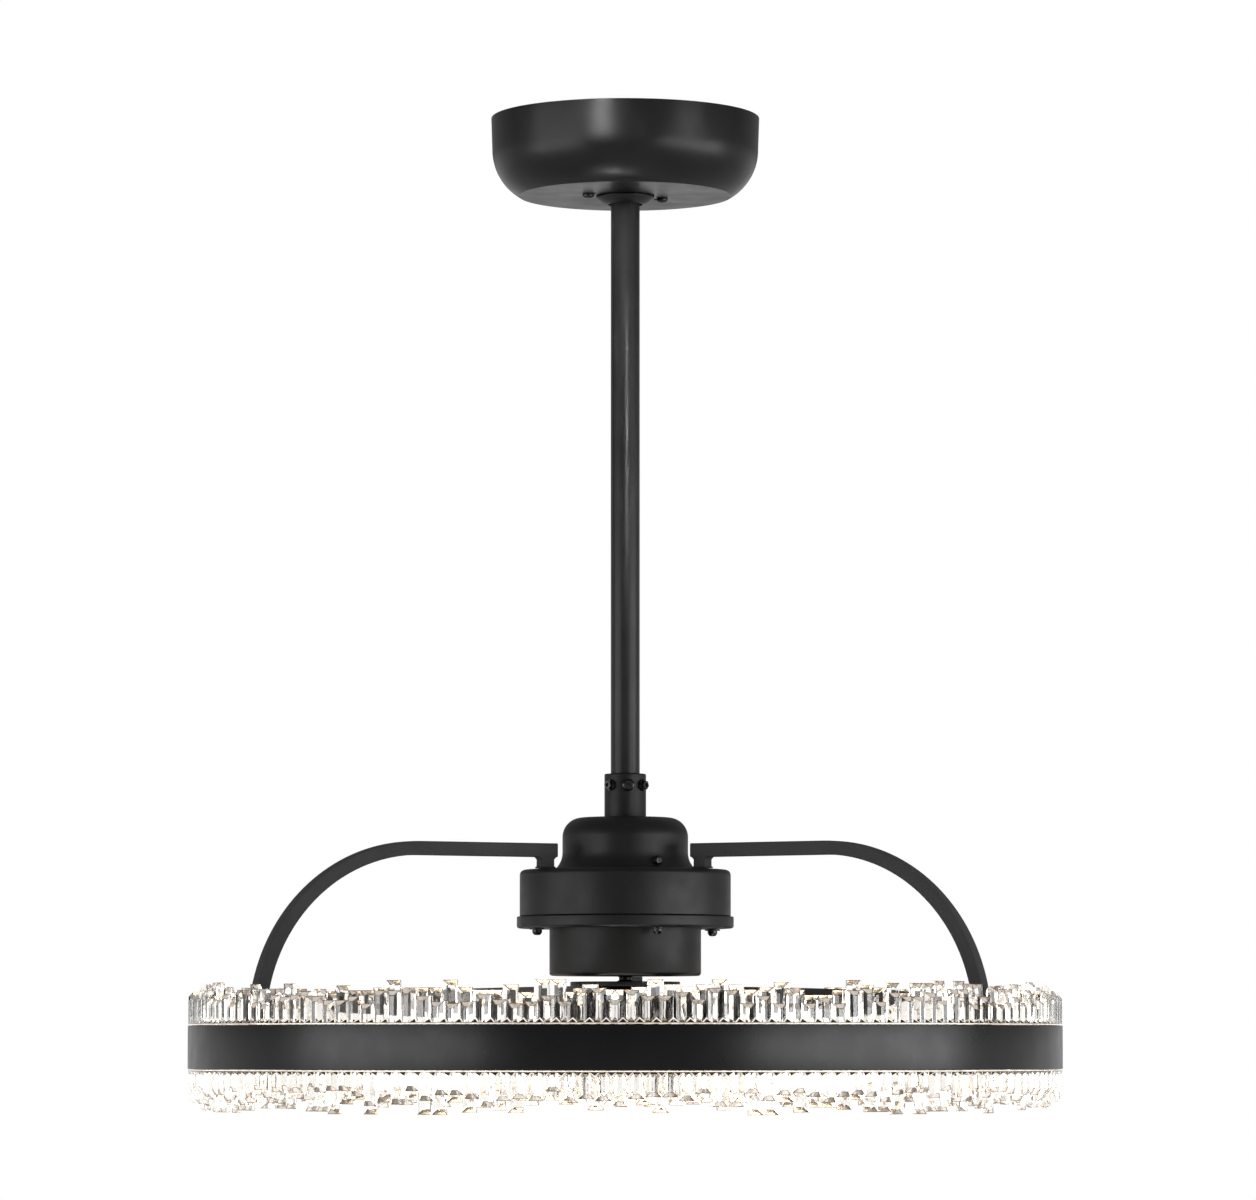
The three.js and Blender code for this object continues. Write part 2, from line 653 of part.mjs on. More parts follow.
function domeSolid() {
  const topZ = couplingBaseZ + DOME_HEIGHT;
  const holeR = COUPLING_R + SEAT;
  const centreR = DOME_R - DOME_SHOULDER_R;
  const centreZ = topZ - DOME_SHOULDER_R;
  const rises = DOME_FLARE_SHARES.map((share) => share * DOME_FLARE_HEIGHT);
  const outer = rises.map((rise) => [domeRadius(rise), couplingBaseZ + rise]);
  const outline = [
    ...outer,
    ...arc(centreR, centreZ, DOME_SHOULDER_R, 0, 90),
    [holeR, topZ],
    [holeR, topZ - DOME_WALL],
    ...arc(centreR, centreZ, DOME_SHOULDER_R - DOME_WALL, 90, 0, HIDDEN_ARC_STEPS),
    [DOME_R - DOME_WALL, couplingBaseZ],
  ];
  const holes = DOME_SCREW_AZIMUTHS.map((azimuth) => {
    const z = couplingBaseZ + DOME_SCREW_RISE;
    const far = DOME_R + DOME_FLARE + OVERRUN;
    return spoke(DOME_SCREW.shank + SEAT, DOME_R - DOME_WALL - OVERRUN, far, z, azimuth);
  });
  return cut(solid(revolved(outline, DOME_FACETS)), ...holes);
}

function hangingPieces(hanging) {
  place(hanging, "hanger_ball", ballSolid(), steel, { z: ballZ });
  place(hanging, "downrod", rodSolid(), blackMetal);
  const halfPin = BALL_R * HANGER_PIN_SHARE;
  const hangerPin = bar(PIN_R, -halfPin, halfPin).rotateY(Math.PI / 2);
  place(hanging, "hanger_pin", solid(hangerPin), steel, { z: ballZ });
  place(hanging, "rod_coupling", couplingSolid(), blackMetal);
  const pinAt = { z: pinZ, turn: PIN_AZIMUTH };
  place(hanging, "coupling_pin", couplingPinSolid(), blackMetal, pinAt);
  place(hanging, "pin_clip", clipSolid(), steel, pinAt);
  for (const [name, turn] of Object.entries(SET_SCREW_AZIMUTHS)) {
    place(hanging, name, setScrewSolid(), blackMetal, { z: pinZ, turn });
  }
  place(hanging, "coupling_dome", domeSolid(), blackMetal);
  DOME_SCREW_AZIMUTHS.forEach((turn, i) => {
    const face = domeRadius(DOME_SCREW_RISE - DOME_SCREW.head) + SEAT;
    const along = screw(DOME_SCREW).rotateY(-Math.PI / 2).translate(face, 0, 0);
    const at = { z: couplingBaseZ + DOME_SCREW_RISE, turn };
    place(hanging, `dome_screw_${i + 1}`, solid(along), blackMetal, at);
  });
}

function drumSolid() {
  const bottomZ = drumTopZ - DRUM_HEIGHT;
  const innerR = DRUM_R - DRUM_WALL;
  const outline = [
    [DRUM_WIRE_R, drumTopZ],
    ...arc(DRUM_R - DRUM_ROUNDING, drumTopZ - DRUM_ROUNDING, DRUM_ROUNDING, 90, 0, SMALL_ARC_STEPS),
    [DRUM_R, bottomZ],
    [DRUM_LEDGE_R, bottomZ],
    [DRUM_LEDGE_R, bottomZ + DRUM_LEDGE],
    [innerR, bottomZ + DRUM_LEDGE],
    [innerR, drumTopZ - DRUM_ROUNDING],
    [innerR - DRUM_WALL, drumTopZ - DRUM_TOP],
    [DRUM_WIRE_R, drumTopZ - DRUM_TOP],
  ];
  const armHoles = ARM_AZIMUTHS.map((azimuth) =>
    bar(ARM_SCREW.shank + SEAT, drumTopZ - DRUM_TOP - OVERRUN, drumTopZ + OVERRUN)
      .translate(POST_R, 0, 0)
      .rotateZ(radians(azimuth)),
  );
  const coverHoles = COVER_SCREW_AZIMUTHS.map((azimuth) =>
    bar(COVER_SCREW.shank + SEAT, bottomZ - OVERRUN, bottomZ + DRUM_LEDGE + OVERRUN)
      .translate(COVER_SCREW_CIRCLE_R, 0, 0)
      .rotateZ(radians(azimuth)),
  );
  return cut(solid(revolved(outline, MOTOR_FACETS)), ...armHoles, ...coverHoles);
}

function coverSolid() {
  const boreR = CUP_R + SEAT;
  const recessR = DRUM_LEDGE_R;
  const ledgeZ = coverBottomZ + COVER_LEDGE;
  const outline = [
    [boreR, coverBottomZ],
    [COVER_R - COVER_EDGE, coverBottomZ],
    [COVER_R, coverBottomZ + COVER_EDGE],
    [COVER_R, coverTopZ - COVER_EDGE],
    [COVER_R - COVER_EDGE, coverTopZ],
    [recessR, coverTopZ],
    [recessR, ledgeZ],
    [boreR, ledgeZ],
  ];
  const holes = COVER_SCREW_AZIMUTHS.map((azimuth) =>
    bar(COVER_SCREW.shank + SEAT, coverBottomZ - OVERRUN, coverTopZ + OVERRUN)
      .translate(COVER_SCREW_CIRCLE_R, 0, 0)
      .rotateZ(radians(azimuth)),
  );
  return cut(solid(revolved(outline, MOTOR_FACETS)), ...holes);
}

// The cup hangs by its rim on the cover's ledge and holds the lower bearing.
function cupSolid() {
  const rimR = DRUM_LEDGE_R - SEAT;
  const floorZ = cupBottomZ + CUP_FLOOR;
  const outline = [
    [BEARING_SHOULDER_R, cupBottomZ],
    ...arc(CUP_R - CUP_ROUNDING, cupBottomZ + CUP_ROUNDING, CUP_ROUNDING, -90, 0, SMALL_ARC_STEPS),
    [CUP_R, cupRimZ - CUP_RIM],
    [rimR, cupRimZ - CUP_RIM],
    [rimR, cupRimZ],
    [cupInnerR, cupRimZ],
    [cupInnerR, floorZ],
    [bearingBossR, floorZ],
    [bearingBossR, cupBossTopZ],
    [bearingPocketR, cupBossTopZ],
    [bearingPocketR, floorZ],
    [BEARING_SHOULDER_R, floorZ],
  ];
  return solid(revolved(outline, MOTOR_FACETS));
}

function bearingPlateSolid() {
  const rimR = DRUM_LEDGE_R - SEAT;
  const underZ = plateTopZ - BEARING_PLATE;
  const outline = [
    [BEARING_SHOULDER_R, plateTopZ],
    [rimR, plateTopZ],
    [rimR, underZ],
    [bearingBossR, underZ],
    [bearingBossR, plateBossZ],
    [bearingPocketR, plateBossZ],
    [bearingPocketR, underZ],
    [BEARING_SHOULDER_R, underZ],
  ];
  return solid(revolved(outline, MOTOR_FACETS));
}

// Inner and outer race with a shielded groove on each face.
function bearingSolid() {
  const width = BEARING_R - shaftHoleR;
  const innerR = shaftHoleR + width * BEARING_RACE_SHARE;
  const outerR = BEARING_R - width * BEARING_RACE_SHARE;
  const outline = [
    [shaftHoleR, 0],
    [innerR, 0],
    [innerR, BEARING_GROOVE],
    [outerR, BEARING_GROOVE],
    [outerR, 0],
    [BEARING_R, 0],
    [BEARING_R, BEARING_HEIGHT],
    [shaftHoleR, BEARING_HEIGHT],
  ];
  return solid(revolved(outline, BEARING_FACETS));
}

function statorSolid() {
  const half = STACK_HEIGHT / 2;
  const yokeR = statorR - STATOR_YOKE;
  const ring = [
    [yokeR, -half],
    [statorR, -half],
    [statorR, half],
    [yokeR, half],
  ];
  const teeth = Array.from({ length: STATOR_TEETH }, (_, i) => {
    const across = [-TOOTH_WIDTH / 2, TOOTH_WIDTH / 2];
    const tooth = block([statorBoreR, yokeR + STATOR_YOKE / 2], across, [-half, half]);
    return solid(tooth.rotateZ((i * 2 * Math.PI) / STATOR_TEETH));
  });
  return join(solid(revolved(ring, MOTOR_FACETS)), ...teeth);
}

// One coil round each tooth, joined by a ring of wire above them.
function windingSolid() {
  const half = STACK_HEIGHT / 2 + SEAT;
  const yokeR = statorR - STATOR_YOKE;
  const along = [mix(statorBoreR, yokeR, COIL_START_SHARE), yokeR - SEAT - OVERRUN];
  const hole = TOOTH_WIDTH / 2 + SEAT;
  const outside = hole + COIL_THICKNESS;
  const coils = Array.from({ length: STATOR_TEETH }, (_, i) => {
    const turn = (i * 2 * Math.PI) / STATOR_TEETH;
    const reach = half + COIL_THICKNESS;
    const wound = block(along, [-outside, outside], [-reach, reach]).rotateZ(turn);
    const core = [along[0] - OVERRUN, along[1] + OVERRUN];
    return cut(solid(wound), block(core, [-hole, hole], [-half, half]).rotateZ(turn));
  });
  const cordR = along[1] - COIL_CORD;
  const [low, high] = [half + COIL_THICKNESS / 2, half + COIL_THICKNESS / 2 + COIL_CORD];
  const cord = [
    [cordR, low],
    [cordR + COIL_CORD, low],
    [cordR + COIL_CORD, high],
    [cordR, high],
  ];
  return join(solid(revolved(cord, TUBE_FACETS)), ...coils);
}

function motorPieces(hanging) {
  place(hanging, "motor_housing", drumSolid(), blackMetal);
  place(hanging, "motor_cover", coverSolid(), blackMetal);
  COVER_SCREW_AZIMUTHS.forEach((azimuth, i) => {
    const group = turnedGroup(hanging, azimuth, coverBottomZ - SEAT);
    const at = { x: COVER_SCREW_CIRCLE_R };
    place(group, `cover_screw_${i + 1}`, solid(screw(COVER_SCREW)), blackMetal, at);
  });
  place(hanging, "motor_cup", cupSolid(), blackMetal);
  place(hanging, "bearing_plate", bearingPlateSolid(), steel);
  const upper = plateTopZ - BEARING_PLATE - SEAT - BEARING_HEIGHT;
  place(hanging, "bearing_upper", bearingSolid(), steel, { z: upper });
  place(hanging, "bearing_lower", bearingSolid(), steel, { z: cupBottomZ + CUP_FLOOR + SEAT });
  place(hanging, "stator_core", statorSolid(), steel, { z: stackZ });
  place(hanging, "stator_winding", windingSolid(), copper, { z: stackZ });
  const { length, width, height, corner } = DRIVER;
  const driver = slab(roundedRectangle(length, width, corner), 0, height);
  const at = { y: DRIVER_OFFSET, z: drumTopZ - DRUM_HEIGHT + DRUM_LEDGE + SEAT };
  place(hanging, "light_driver", solid(driver), casing, at);
}

// Side view of an arm: a bar that runs out level and bends down to the ring, and its post
function armSolid() {
  const bottomZ = armTopZ - ARM_BAR;
  const centreR = ARM_REACH - ARM_CURVE_R;
  const centreZ = armTopZ - ARM_CURVE_R;
  const endZ = ringZ - ARM_TAIL;
  const footZ = drumTopZ + SEAT;
  const [postIn, postOut] = [POST_R - POST_WIDTH / 2, POST_R + POST_WIDTH / 2];
  const outline = [
    [ARM_START_R, armTopZ],
    ...arc(centreR, centreZ, ARM_CURVE_R, 90, 0, ARM_CURVE_STEPS),
    [ARM_REACH, endZ],
    [ARM_REACH - ARM_BAR, endZ],
    ...arc(centreR, centreZ, ARM_CURVE_R - ARM_BAR, 0, 90, ARM_CURVE_STEPS),
    ...arc(postOut + POST_FILLET, bottomZ - POST_FILLET, POST_FILLET, 90, 180, SMALL_ARC_STEPS),
    [postOut, footZ],
    [postIn, footZ],
    [postIn, bottomZ],
    [ARM_START_R, bottomZ],
  ];
  const shape = new THREE.Shape(outline.map(([r, z]) => new THREE.Vector2(r, z)));
  const side = slab(shape, -ARM_BAR / 2, ARM_BAR / 2).rotateX(Math.PI / 2);
  const half = POST_WIDTH / 2 + POST_FOOT;
  const foot = block([POST_R - half, POST_R + half], [-half, half], [footZ, footZ + POST_FOOT]);
  const hole = bar(ARM_SCREW.shank + SEAT, footZ - OVERRUN, bottomZ).translate(POST_R, 0, 0);
  return cut(join(solid(side), solid(foot)), hole);
}

function armPieces(hanging) {
  ARM_AZIMUTHS.forEach((azimuth, i) => {
    const group = turnedGroup(hanging, azimuth);
    place(group, `arm_${i + 1}`, armSolid(), blackMetal);
    const at = { x: POST_R, z: drumTopZ - DRUM_TOP - SEAT };
    place(group, `arm_screw_${i + 1}`, solid(screw(ARM_SCREW)), steel, at);
  });
}

// The ring's radii are those of its flats, so that the arms lie on them.
const ringCornerShare = 1 / Math.cos(Math.PI / RING_FACETS);

function ringOutline(points) {
  return points.map(([r, z]) => [r * ringCornerShare, z]);
}

// A flat that faces each arm: the lathe's facets are turned by half a facet where needed.
function ringSolid(points) {
  const facet = 360 / RING_FACETS;
  const geometry = revolved(ringOutline(points), RING_FACETS);
  return solid(geometry.rotateZ(radians(ARM_AZIMUTHS[0] % facet) + radians(facet / 2)));
}

function channelSolid() {
  const half = BAND_HEIGHT / 2;
  const web = CHANNEL_WEB / 2;
  const wallR = ringInnerR + CHANNEL_WALL;
  const webR = ringOuterR - BAND_WALL - SEAT;
  return ringSolid([
    [ringInnerR, -half],
    [wallR, -half],
    [wallR, -web],
    [webR, -web],
    [webR, web],
    [wallR, web],
    [wallR, half],
    [ringInnerR, half],
  ]);
}

function bandSolid() {
  const half = BAND_HEIGHT / 2;
  return ringSolid([
    [ringOuterR - BAND_WALL, -half],
    [ringOuterR, -half],
    [ringOuterR, half],
    [ringOuterR - BAND_WALL, half],
  ]);
}

function stripSolid() {
  const middleR = ringInnerR + RING_DEPTH / 2;
  const low = CHANNEL_WEB / 2 + SEAT;
  const outline = [
    [middleR - STRIP_WIDTH / 2, low],
    [middleR + STRIP_WIDTH / 2, low],
    [middleR + STRIP_WIDTH / 2, low + STRIP_THICKNESS],
    [middleR - STRIP_WIDTH / 2, low + STRIP_THICKNESS],
  ];
  return solid(revolved(outline, STRIP_FACETS));
}

// A repeatable spread of prism heights, in even levels between the short and the tall ones.
function prismHeight(count, crown) {
  const scattered = (count * count * SCATTER_SHARE + crown / 2) % 1;
  const level = Math.floor(scattered * PRISM_LEVELS);
  return mix(PRISM_SHORT, PRISM_TALL, level / (PRISM_LEVELS - 1));
}

// One sixth of a crown: a row of columns with a ridge outwards, side by side on one base.
function crownSolid(heights) {
  const outerR = ringOuterR - CROWN_SETBACK;
  const valleyR = outerR - PRISM_RIDGE;
  const innerR = ringInnerR + 2 * SEAT;
  const sweep = (2 * Math.PI) / CROWN_SEGMENTS - SEAT / outerR;
  const pitch = sweep / heights.length;
  const positions = [];
  const point = (r, angle, z) => [r * Math.cos(angle), r * Math.sin(angle), z];
  const face = (corners) => {
    for (let i = 1; i < corners.length - 1; i += 1) {
      positions.push(...corners[0], ...corners[i], ...corners[i + 1]);
    }
  };
  // The levels that a side of a column passes, from its own top down to the base.
  const levels = (top, neighbour) => (neighbour > 0 && neighbour < top ? [top, neighbour, 0] : [top, 0]);
  heights.forEach((top, i) => {
    const [left, middle, right] = [i, i + 0.5, i + 1].map((step) => step * pitch);
    const before = heights[i - 1] ?? 0;
    const after = heights[i + 1] ?? 0;
    const back = [
      [valleyR, right],
      [innerR, right],
      [innerR, left],
      [valleyR, left],
    ];
    const ridgeTop = point(outerR, middle, top - PRISM_BEVEL);
    face(back.map(([r, angle]) => point(r, angle, top)));
    face([point(valleyR, left, top), ridgeTop, point(valleyR, right, top)]);
    face([...back, [outerR, middle]].map(([r, angle]) => point(r, angle, 0)).reverse());
    const leftDown = levels(top, before);
    const rightUp = levels(top, after).reverse();
    face([
      point(outerR, middle, 0),
      ridgeTop,
      ...leftDown.map((z) => point(valleyR, left, z)),
    ]);
    face([
      ridgeTop,
      point(outerR, middle, 0),
      ...rightUp.map((z) => point(valleyR, right, z)),
    ]);
    face([
      ...leftDown.map((z) => point(innerR, left, z)).reverse(),
      ...rightUp.map((z) => point(innerR, right, z)).reverse(),
    ]);
    if (top > after) {
      face([
        point(valleyR, right, after),
        point(innerR, right, after),
        point(innerR, right, top),
        point(valleyR, right, top),
      ]);
    }
    if (top > before) {
      face([
        point(innerR, left, before),
        point(valleyR, left, before),
        point(valleyR, left, top),
        point(innerR, left, top),
      ]);
    }
  });
  const geometry = new THREE.BufferGeometry();
  geometry.setAttribute("position", new THREE.Float32BufferAttribute(positions, 3));
  return solid(geometry);
}

function ringPieces(hanging) {
  const ring = turnedGroup(hanging, 0, ringZ);
  place(ring, "ring_channel", channelSolid(), blackMetal);
  place(ring, "outer_band", bandSolid(), blackMetal);
  Object.entries(CROWN_SEAM_AZIMUTHS).forEach(([side, seam], crown) => {
    // The lower half is the upper half turned over about X, which runs its azimuths backwards.
    const half = new THREE.Group();
    half.rotation.x = crown * Math.PI;
    ring.add(half);
    place(half, `led_strip_${side}`, stripSolid(), lamp);
    for (let k = 0; k < CROWN_SEGMENTS; k += 1) {
      const heights = Array.from({ length: PRISMS_PER_SEGMENT }, (_, i) =>
        prismHeight(k * PRISMS_PER_SEGMENT + i, crown),
      );
      const turn = (crown ? -seam : seam) + (k * 360) / CROWN_SEGMENTS;
      const at = { z: BAND_HEIGHT / 2 + SEAT, turn };
      place(half, `crystal_${side}_${k + 1}`, crownSolid(heights), crystal, at);
    }
  });
}

// The shaft with the rotor's core, which carries the magnet.
function shaftSolid() {
  const coreR = MAGNET_R - MAGNET_WALL - SEAT;
  const half = STACK_HEIGHT / 2;
  const outline = [
    [0, hubTopZ - HUB_LENGTH],
    [SHAFT_R, hubTopZ - HUB_LENGTH],
    [SHAFT_R, stackZ - half],
    [coreR, stackZ - half],
    [coreR, stackZ + half],
    [SHAFT_R, stackZ + half],
    [SHAFT_R, plateTopZ - BEARING_PLATE],
    [0, plateTopZ - BEARING_PLATE],
  ];
  return solid(revolved(outline, BEARING_FACETS));
}

function magnetSolid() {
  const half = STACK_HEIGHT / 2;
  const outline = [
    [MAGNET_R - MAGNET_WALL, -half],
    [MAGNET_R, -half],
    [MAGNET_R, half],
    [MAGNET_R - MAGNET_WALL, half],
  ];
  return solid(revolved(outline, BEARING_FACETS));
}

function hubSolid() {
  const outline = [
    [shaftHoleR, -HUB_LENGTH],
    [HUB_BOSS_R, -HUB_LENGTH],
    [HUB_BOSS_R, -HUB_PLATE],
    [HUB_R, -HUB_PLATE],
    [HUB_R, 0],
    [shaftHoleR, 0],
  ];
  return solid(revolved(outline, DOME_FACETS));
}

// The cap under the hub, a shallow bowl whose rim meets the blades' pads.
function capSolid(rimZ) {
  const bowl = (radius, depth, from, to) =>
    arc(0, 0, 1, from, to, HIDDEN_ARC_STEPS + 1).map(([c, s]) => [radius * c, rimZ + depth * s]);
  const outline = [
    ...bowl(CAP_R, CAP_DEPTH, -90, 0),
    ...bowl(CAP_R - CAP_WALL, CAP_DEPTH - CAP_WALL, 0, -90),
  ];
  outline[0][0] = 0;
  outline.at(-1)[0] = 0;
  return solid(revolved(outline, TUBE_FACETS));
}

// A blade along X: a flat pad under the hub that twists into a cambered, pitched blade.
function bladeSolid() {
  const padZ = -HUB_PLATE - SEAT - BLADE_THICKNESS / 2;
  const sections = Array.from({ length: BLADE_STATIONS }, (_, i) => {
    const along = i / (BLADE_STATIONS - 1);
    const r = i === 0 ? BLADE_ROOT_R : mix(BLADE_FLAT_R, bladeTipR, (i - 1) / (BLADE_STATIONS - 2));
    const turned = smooth(Math.min(1, Math.max(0, (r - BLADE_FLAT_R) / (BLADE_FULL_R - BLADE_FLAT_R))));
    const outward = Math.max(0, (r - BLADE_FULL_R) / (bladeTipR - BLADE_FULL_R));
    const pitch = radians(turned * (BLADE_PITCH_ANGLE - BLADE_TWIST_ANGLE * outward));
    const full = mix(BLADE_CHORD, BLADE_TIP_CHORD, outward ** 2);
    const past = Math.max(0, outward - BLADE_TIP_START_SHARE) / (1 - BLADE_TIP_START_SHARE);
    const rounding = Math.sqrt(1 - BLADE_TIP_LOSS_SHARE * past ** 4);
    const chord = mix(BLADE_PAD_CHORD, full, turned) * rounding;
    const camber = chord * BLADE_CAMBER_SHARE * turned;
    const edge = BLADE_THICKNESS * BLADE_EDGE_SHARE;
    const outline = BLADE_OUTLINE_SHARES.map((share) => {
      const crown = 1 - (2 * share) ** 2;
      const thickness = mix(mix(edge, BLADE_THICKNESS, crown), BLADE_THICKNESS, 1 - turned);
      return { y: share * chord, z: camber * crown, half: thickness / 2 };
    });
    const round = [
      ...outline.map(({ y, z, half }) => [y, z + half]),
      ...outline.reverse().map(({ y, z, half }) => [y, z - half]),
    ];
    return round.map(([y, z]) => [
      r,
      y * Math.cos(pitch) - z * Math.sin(pitch),
      padZ - BLADE_DROP * turned + y * Math.sin(pitch) + z * Math.cos(pitch),
    ]);
  });
  return solid(loft(sections));
}

// A closed skin over a row of sections with the same number of points.
function loft(sections) {
  const count = sections[0].length;
  const positions = sections.flat(2);
  const index = [];
  for (let s = 0; s < sections.length - 1; s += 1) {
    for (let i = 0; i < count; i += 1) {
      const [a, b] = [s * count + i, s * count + ((i + 1) % count)];
      index.push(a, b, b + count, a, b + count, a + count);
    }
  }
  const last = (sections.length - 1) * count;
  for (let i = 1; i < count - 1; i += 1) {
    index.push(0, i + 1, i, last, last + i, last + i + 1);
  }
  const geometry = new THREE.BufferGeometry();
  geometry.setAttribute("position", new THREE.Float32BufferAttribute(positions, 3));
  geometry.setIndex(index);
  return geometry;
}

function rotorPieces() {
  place(fan, "motor_shaft", shaftSolid(), steel);
  place(fan, "rotor_magnet", magnetSolid(), magnet, { z: stackZ });
  const rotor = turnedGroup(fan, BLADE_AZIMUTH, hubTopZ);
  place(rotor, "blade_hub", hubSolid(), blackMetal);
  for (let i = 0; i < BLADES; i += 1) {
    place(rotor, `blade_${i + 1}`, bladeSolid(), blackPlastic, { turn: (i * 360) / BLADES });
  }
  const capRimZ = -HUB_PLATE - SEAT - BLADE_THICKNESS - SEAT;
  place(rotor, "hub_cap", capSolid(capRimZ), blackPlastic);
}

ceilingPieces();
hangingPieces(fan);
motorPieces(fan);
armPieces(fan);
ringPieces(fan);
rotorPieces();

export default fan;
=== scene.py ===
from math import asin, cos, degrees, floor, pi, radians, sin, sqrt, tan

import bmesh
import bpy
from mathutils import Matrix, Vector

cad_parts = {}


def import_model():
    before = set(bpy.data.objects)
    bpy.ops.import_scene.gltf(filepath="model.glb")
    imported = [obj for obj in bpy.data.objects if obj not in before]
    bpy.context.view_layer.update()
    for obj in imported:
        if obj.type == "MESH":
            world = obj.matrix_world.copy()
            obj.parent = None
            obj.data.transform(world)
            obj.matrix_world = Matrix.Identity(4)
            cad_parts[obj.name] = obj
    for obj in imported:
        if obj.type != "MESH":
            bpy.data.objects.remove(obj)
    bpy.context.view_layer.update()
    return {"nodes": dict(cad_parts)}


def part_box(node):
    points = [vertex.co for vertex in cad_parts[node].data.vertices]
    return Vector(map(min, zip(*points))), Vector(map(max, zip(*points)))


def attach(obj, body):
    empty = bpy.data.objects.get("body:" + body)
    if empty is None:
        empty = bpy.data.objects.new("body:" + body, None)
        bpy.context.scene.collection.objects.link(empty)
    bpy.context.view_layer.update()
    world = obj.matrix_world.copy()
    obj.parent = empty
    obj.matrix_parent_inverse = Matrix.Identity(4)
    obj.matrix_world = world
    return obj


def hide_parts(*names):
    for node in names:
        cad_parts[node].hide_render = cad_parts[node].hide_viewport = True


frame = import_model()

# A ceiling fan inside a chandelier ring. Its shapes are written in millimetres and built in metres.
MM = 0.001


def levels_of(name):
    low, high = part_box(name)
    return low[2] / MM, high[2] / MM


# Lowest and highest levels of the solids
CANOPY_BOTTOM, CANOPY_TOP = levels_of("canopy")
ROD_END, ROD_TOP = levels_of("downrod")
COUPLING_BASE, COUPLING_TOP = levels_of("rod_coupling")
PIN_Z = sum(levels_of("coupling_pin")) / 2
DRUM_BOTTOM, DRUM_TOP = levels_of("motor_housing")
COVER_BOTTOM, COVER_TOP = levels_of("motor_cover")
CUP_BOTTOM, CUP_RIM_Z = levels_of("motor_cup")
_, ARM_TOP = levels_of("arm_1")
BAND_BOTTOM, BAND_TOP = levels_of("outer_band")
RING_Z, BAND_HALF = (BAND_TOP + BAND_BOTTOM) / 2, (BAND_TOP - BAND_BOTTOM) / 2
_, HUB_TOP = levels_of("blade_hub")
SHAFT_BOTTOM, SHAFT_TOP = levels_of("motor_shaft")

# Driving sizes
SEAT = 0.3  # gap between neighbouring pieces
CANOPY_SCREW_CIRCLE_R, COVER_SCREW_CIRCLE_R = 26.4, 61
ROD_R, ROD_BORE_R = 9.525, 7.9
SLEEVE_R = 13.65
DOME_R, DOME_FLARE, DOME_FLARE_HEIGHT = 41.15, 4.85, 11.9
DOME_SCREW_RISE = 4.9
ARM_BAR = 9.0  # side of the square bar
ARM_REACH = 269.4
RING_INNER_R, RING_OUTER_R, BAND_WALL = 269.7, 285.2, 1.8
HUB_THICK = 3.0
BLADE_THICK = 3.2

# Azimuths, in degrees from +X
BRACKET_AZIMUTH = 23.4
ARM_AZIMUTHS = (208.4, 328.4, 88.4)
BLADE_AZIMUTHS = (45.0, 135.0, 225.0, 315.0)
COVER_SCREW_AZIMUTHS = (290.0, 20.0, 110.0, 200.0)
DOME_SCREW_AZIMUTHS = (298.0, 118.0)
PIN_AZIMUTH = 278.0
SET_SCREW_AZIMUTHS = {"coupling_screw_left": 228.0, "coupling_screw_right": 322.0}

# Facets of turned pieces
RING_FACETS = 360
FINE = 128
MEDIUM = 96
SMALL = 40


# Materials
def new_material(name):
    made = bpy.data.materials.new(name)
    made.use_nodes = True
    return made, made.node_tree, made.node_tree.nodes["Principled BSDF"]


def node(tree, kind):
    return tree.nodes.new(f"ShaderNode{kind}")


def joined(tree, kind, *values, operation=""):
    """The result of a node whose inputs are, in their order, numbers, colours or other nodes' results."""
    made = node(tree, kind)
    if operation:
        made.operation = operation
    for socket, value in zip(made.inputs, values):
        if isinstance(value, bpy.types.NodeSocket):
            tree.links.new(value, socket)
        else:
            socket.default_value = value
    return made.outputs[0]


def noise(tree, scale, detail=2.0, stretch=(1.0, 1.0, 1.0)):
    place = node(tree, "TexCoord").outputs["Object"]
    origin = (0, 0, 0)
    stretched = joined(tree, "Mapping", place, origin, origin, stretch)
    return joined(tree, "TexNoise", stretched, 0.0, scale, detail)


def spread(tree, value, low, high, start=0.3, end=0.7):
    """A value that goes from low to high while the given one goes from start to end."""
    return joined(tree, "MapRange", value, start, end, low, high)


def tint(tree, value, dark, light, start=0.3, end=0.7):
    """A colour that goes from dark to light while the value goes from start to end."""
    made = node(tree, "ValToRGB")
    made.color_ramp.elements[0].position = start
    made.color_ramp.elements[0].color = (*dark, 1)
    made.color_ramp.elements[1].position = end
    made.color_ramp.elements[1].color = (*light, 1)
    tree.links.new(value, made.inputs["Fac"])
    return made.outputs["Color"]


def bump(tree, heights, shader):
    """heights are (value, strength, distance in metres) laid over each other."""
    below = None
    for value, strength, distance in heights:
        made = node(tree, "Bump")
        made.inputs["Strength"].default_value = strength
        made.inputs["Distance"].default_value = distance
        tree.links.new(value, made.inputs["Height"])
        if below:
            tree.links.new(below, made.inputs["Normal"])
        below = made.outputs["Normal"]
    tree.links.new(below, shader.inputs["Normal"])


def coated(name, dark, light, rough, grain=900.0, depth=0.00002, peel=0.00004, ior=1.36):
    """Powder coat or moulded plastic: fine grain on a slight orange peel, depth and peel in metres."""
    made, tree, shader = new_material(name)
    clouds = noise(tree, scale=22.0, detail=4.0)
    patches = noise(tree, scale=60.0, detail=3.0)
    dimples = noise(tree, scale=180.0, detail=1.0)
    fine = noise(tree, scale=grain, detail=3.0)
    shader.inputs["IOR"].default_value = ior
    tree.links.new(tint(tree, clouds, dark, light), shader.inputs["Base Color"])
    tree.links.new(spread(tree, patches, *rough), shader.inputs["Roughness"])
    bump(tree, [(dimples, 0.5, peel), (fine, 0.6, depth)], shader)
    return made


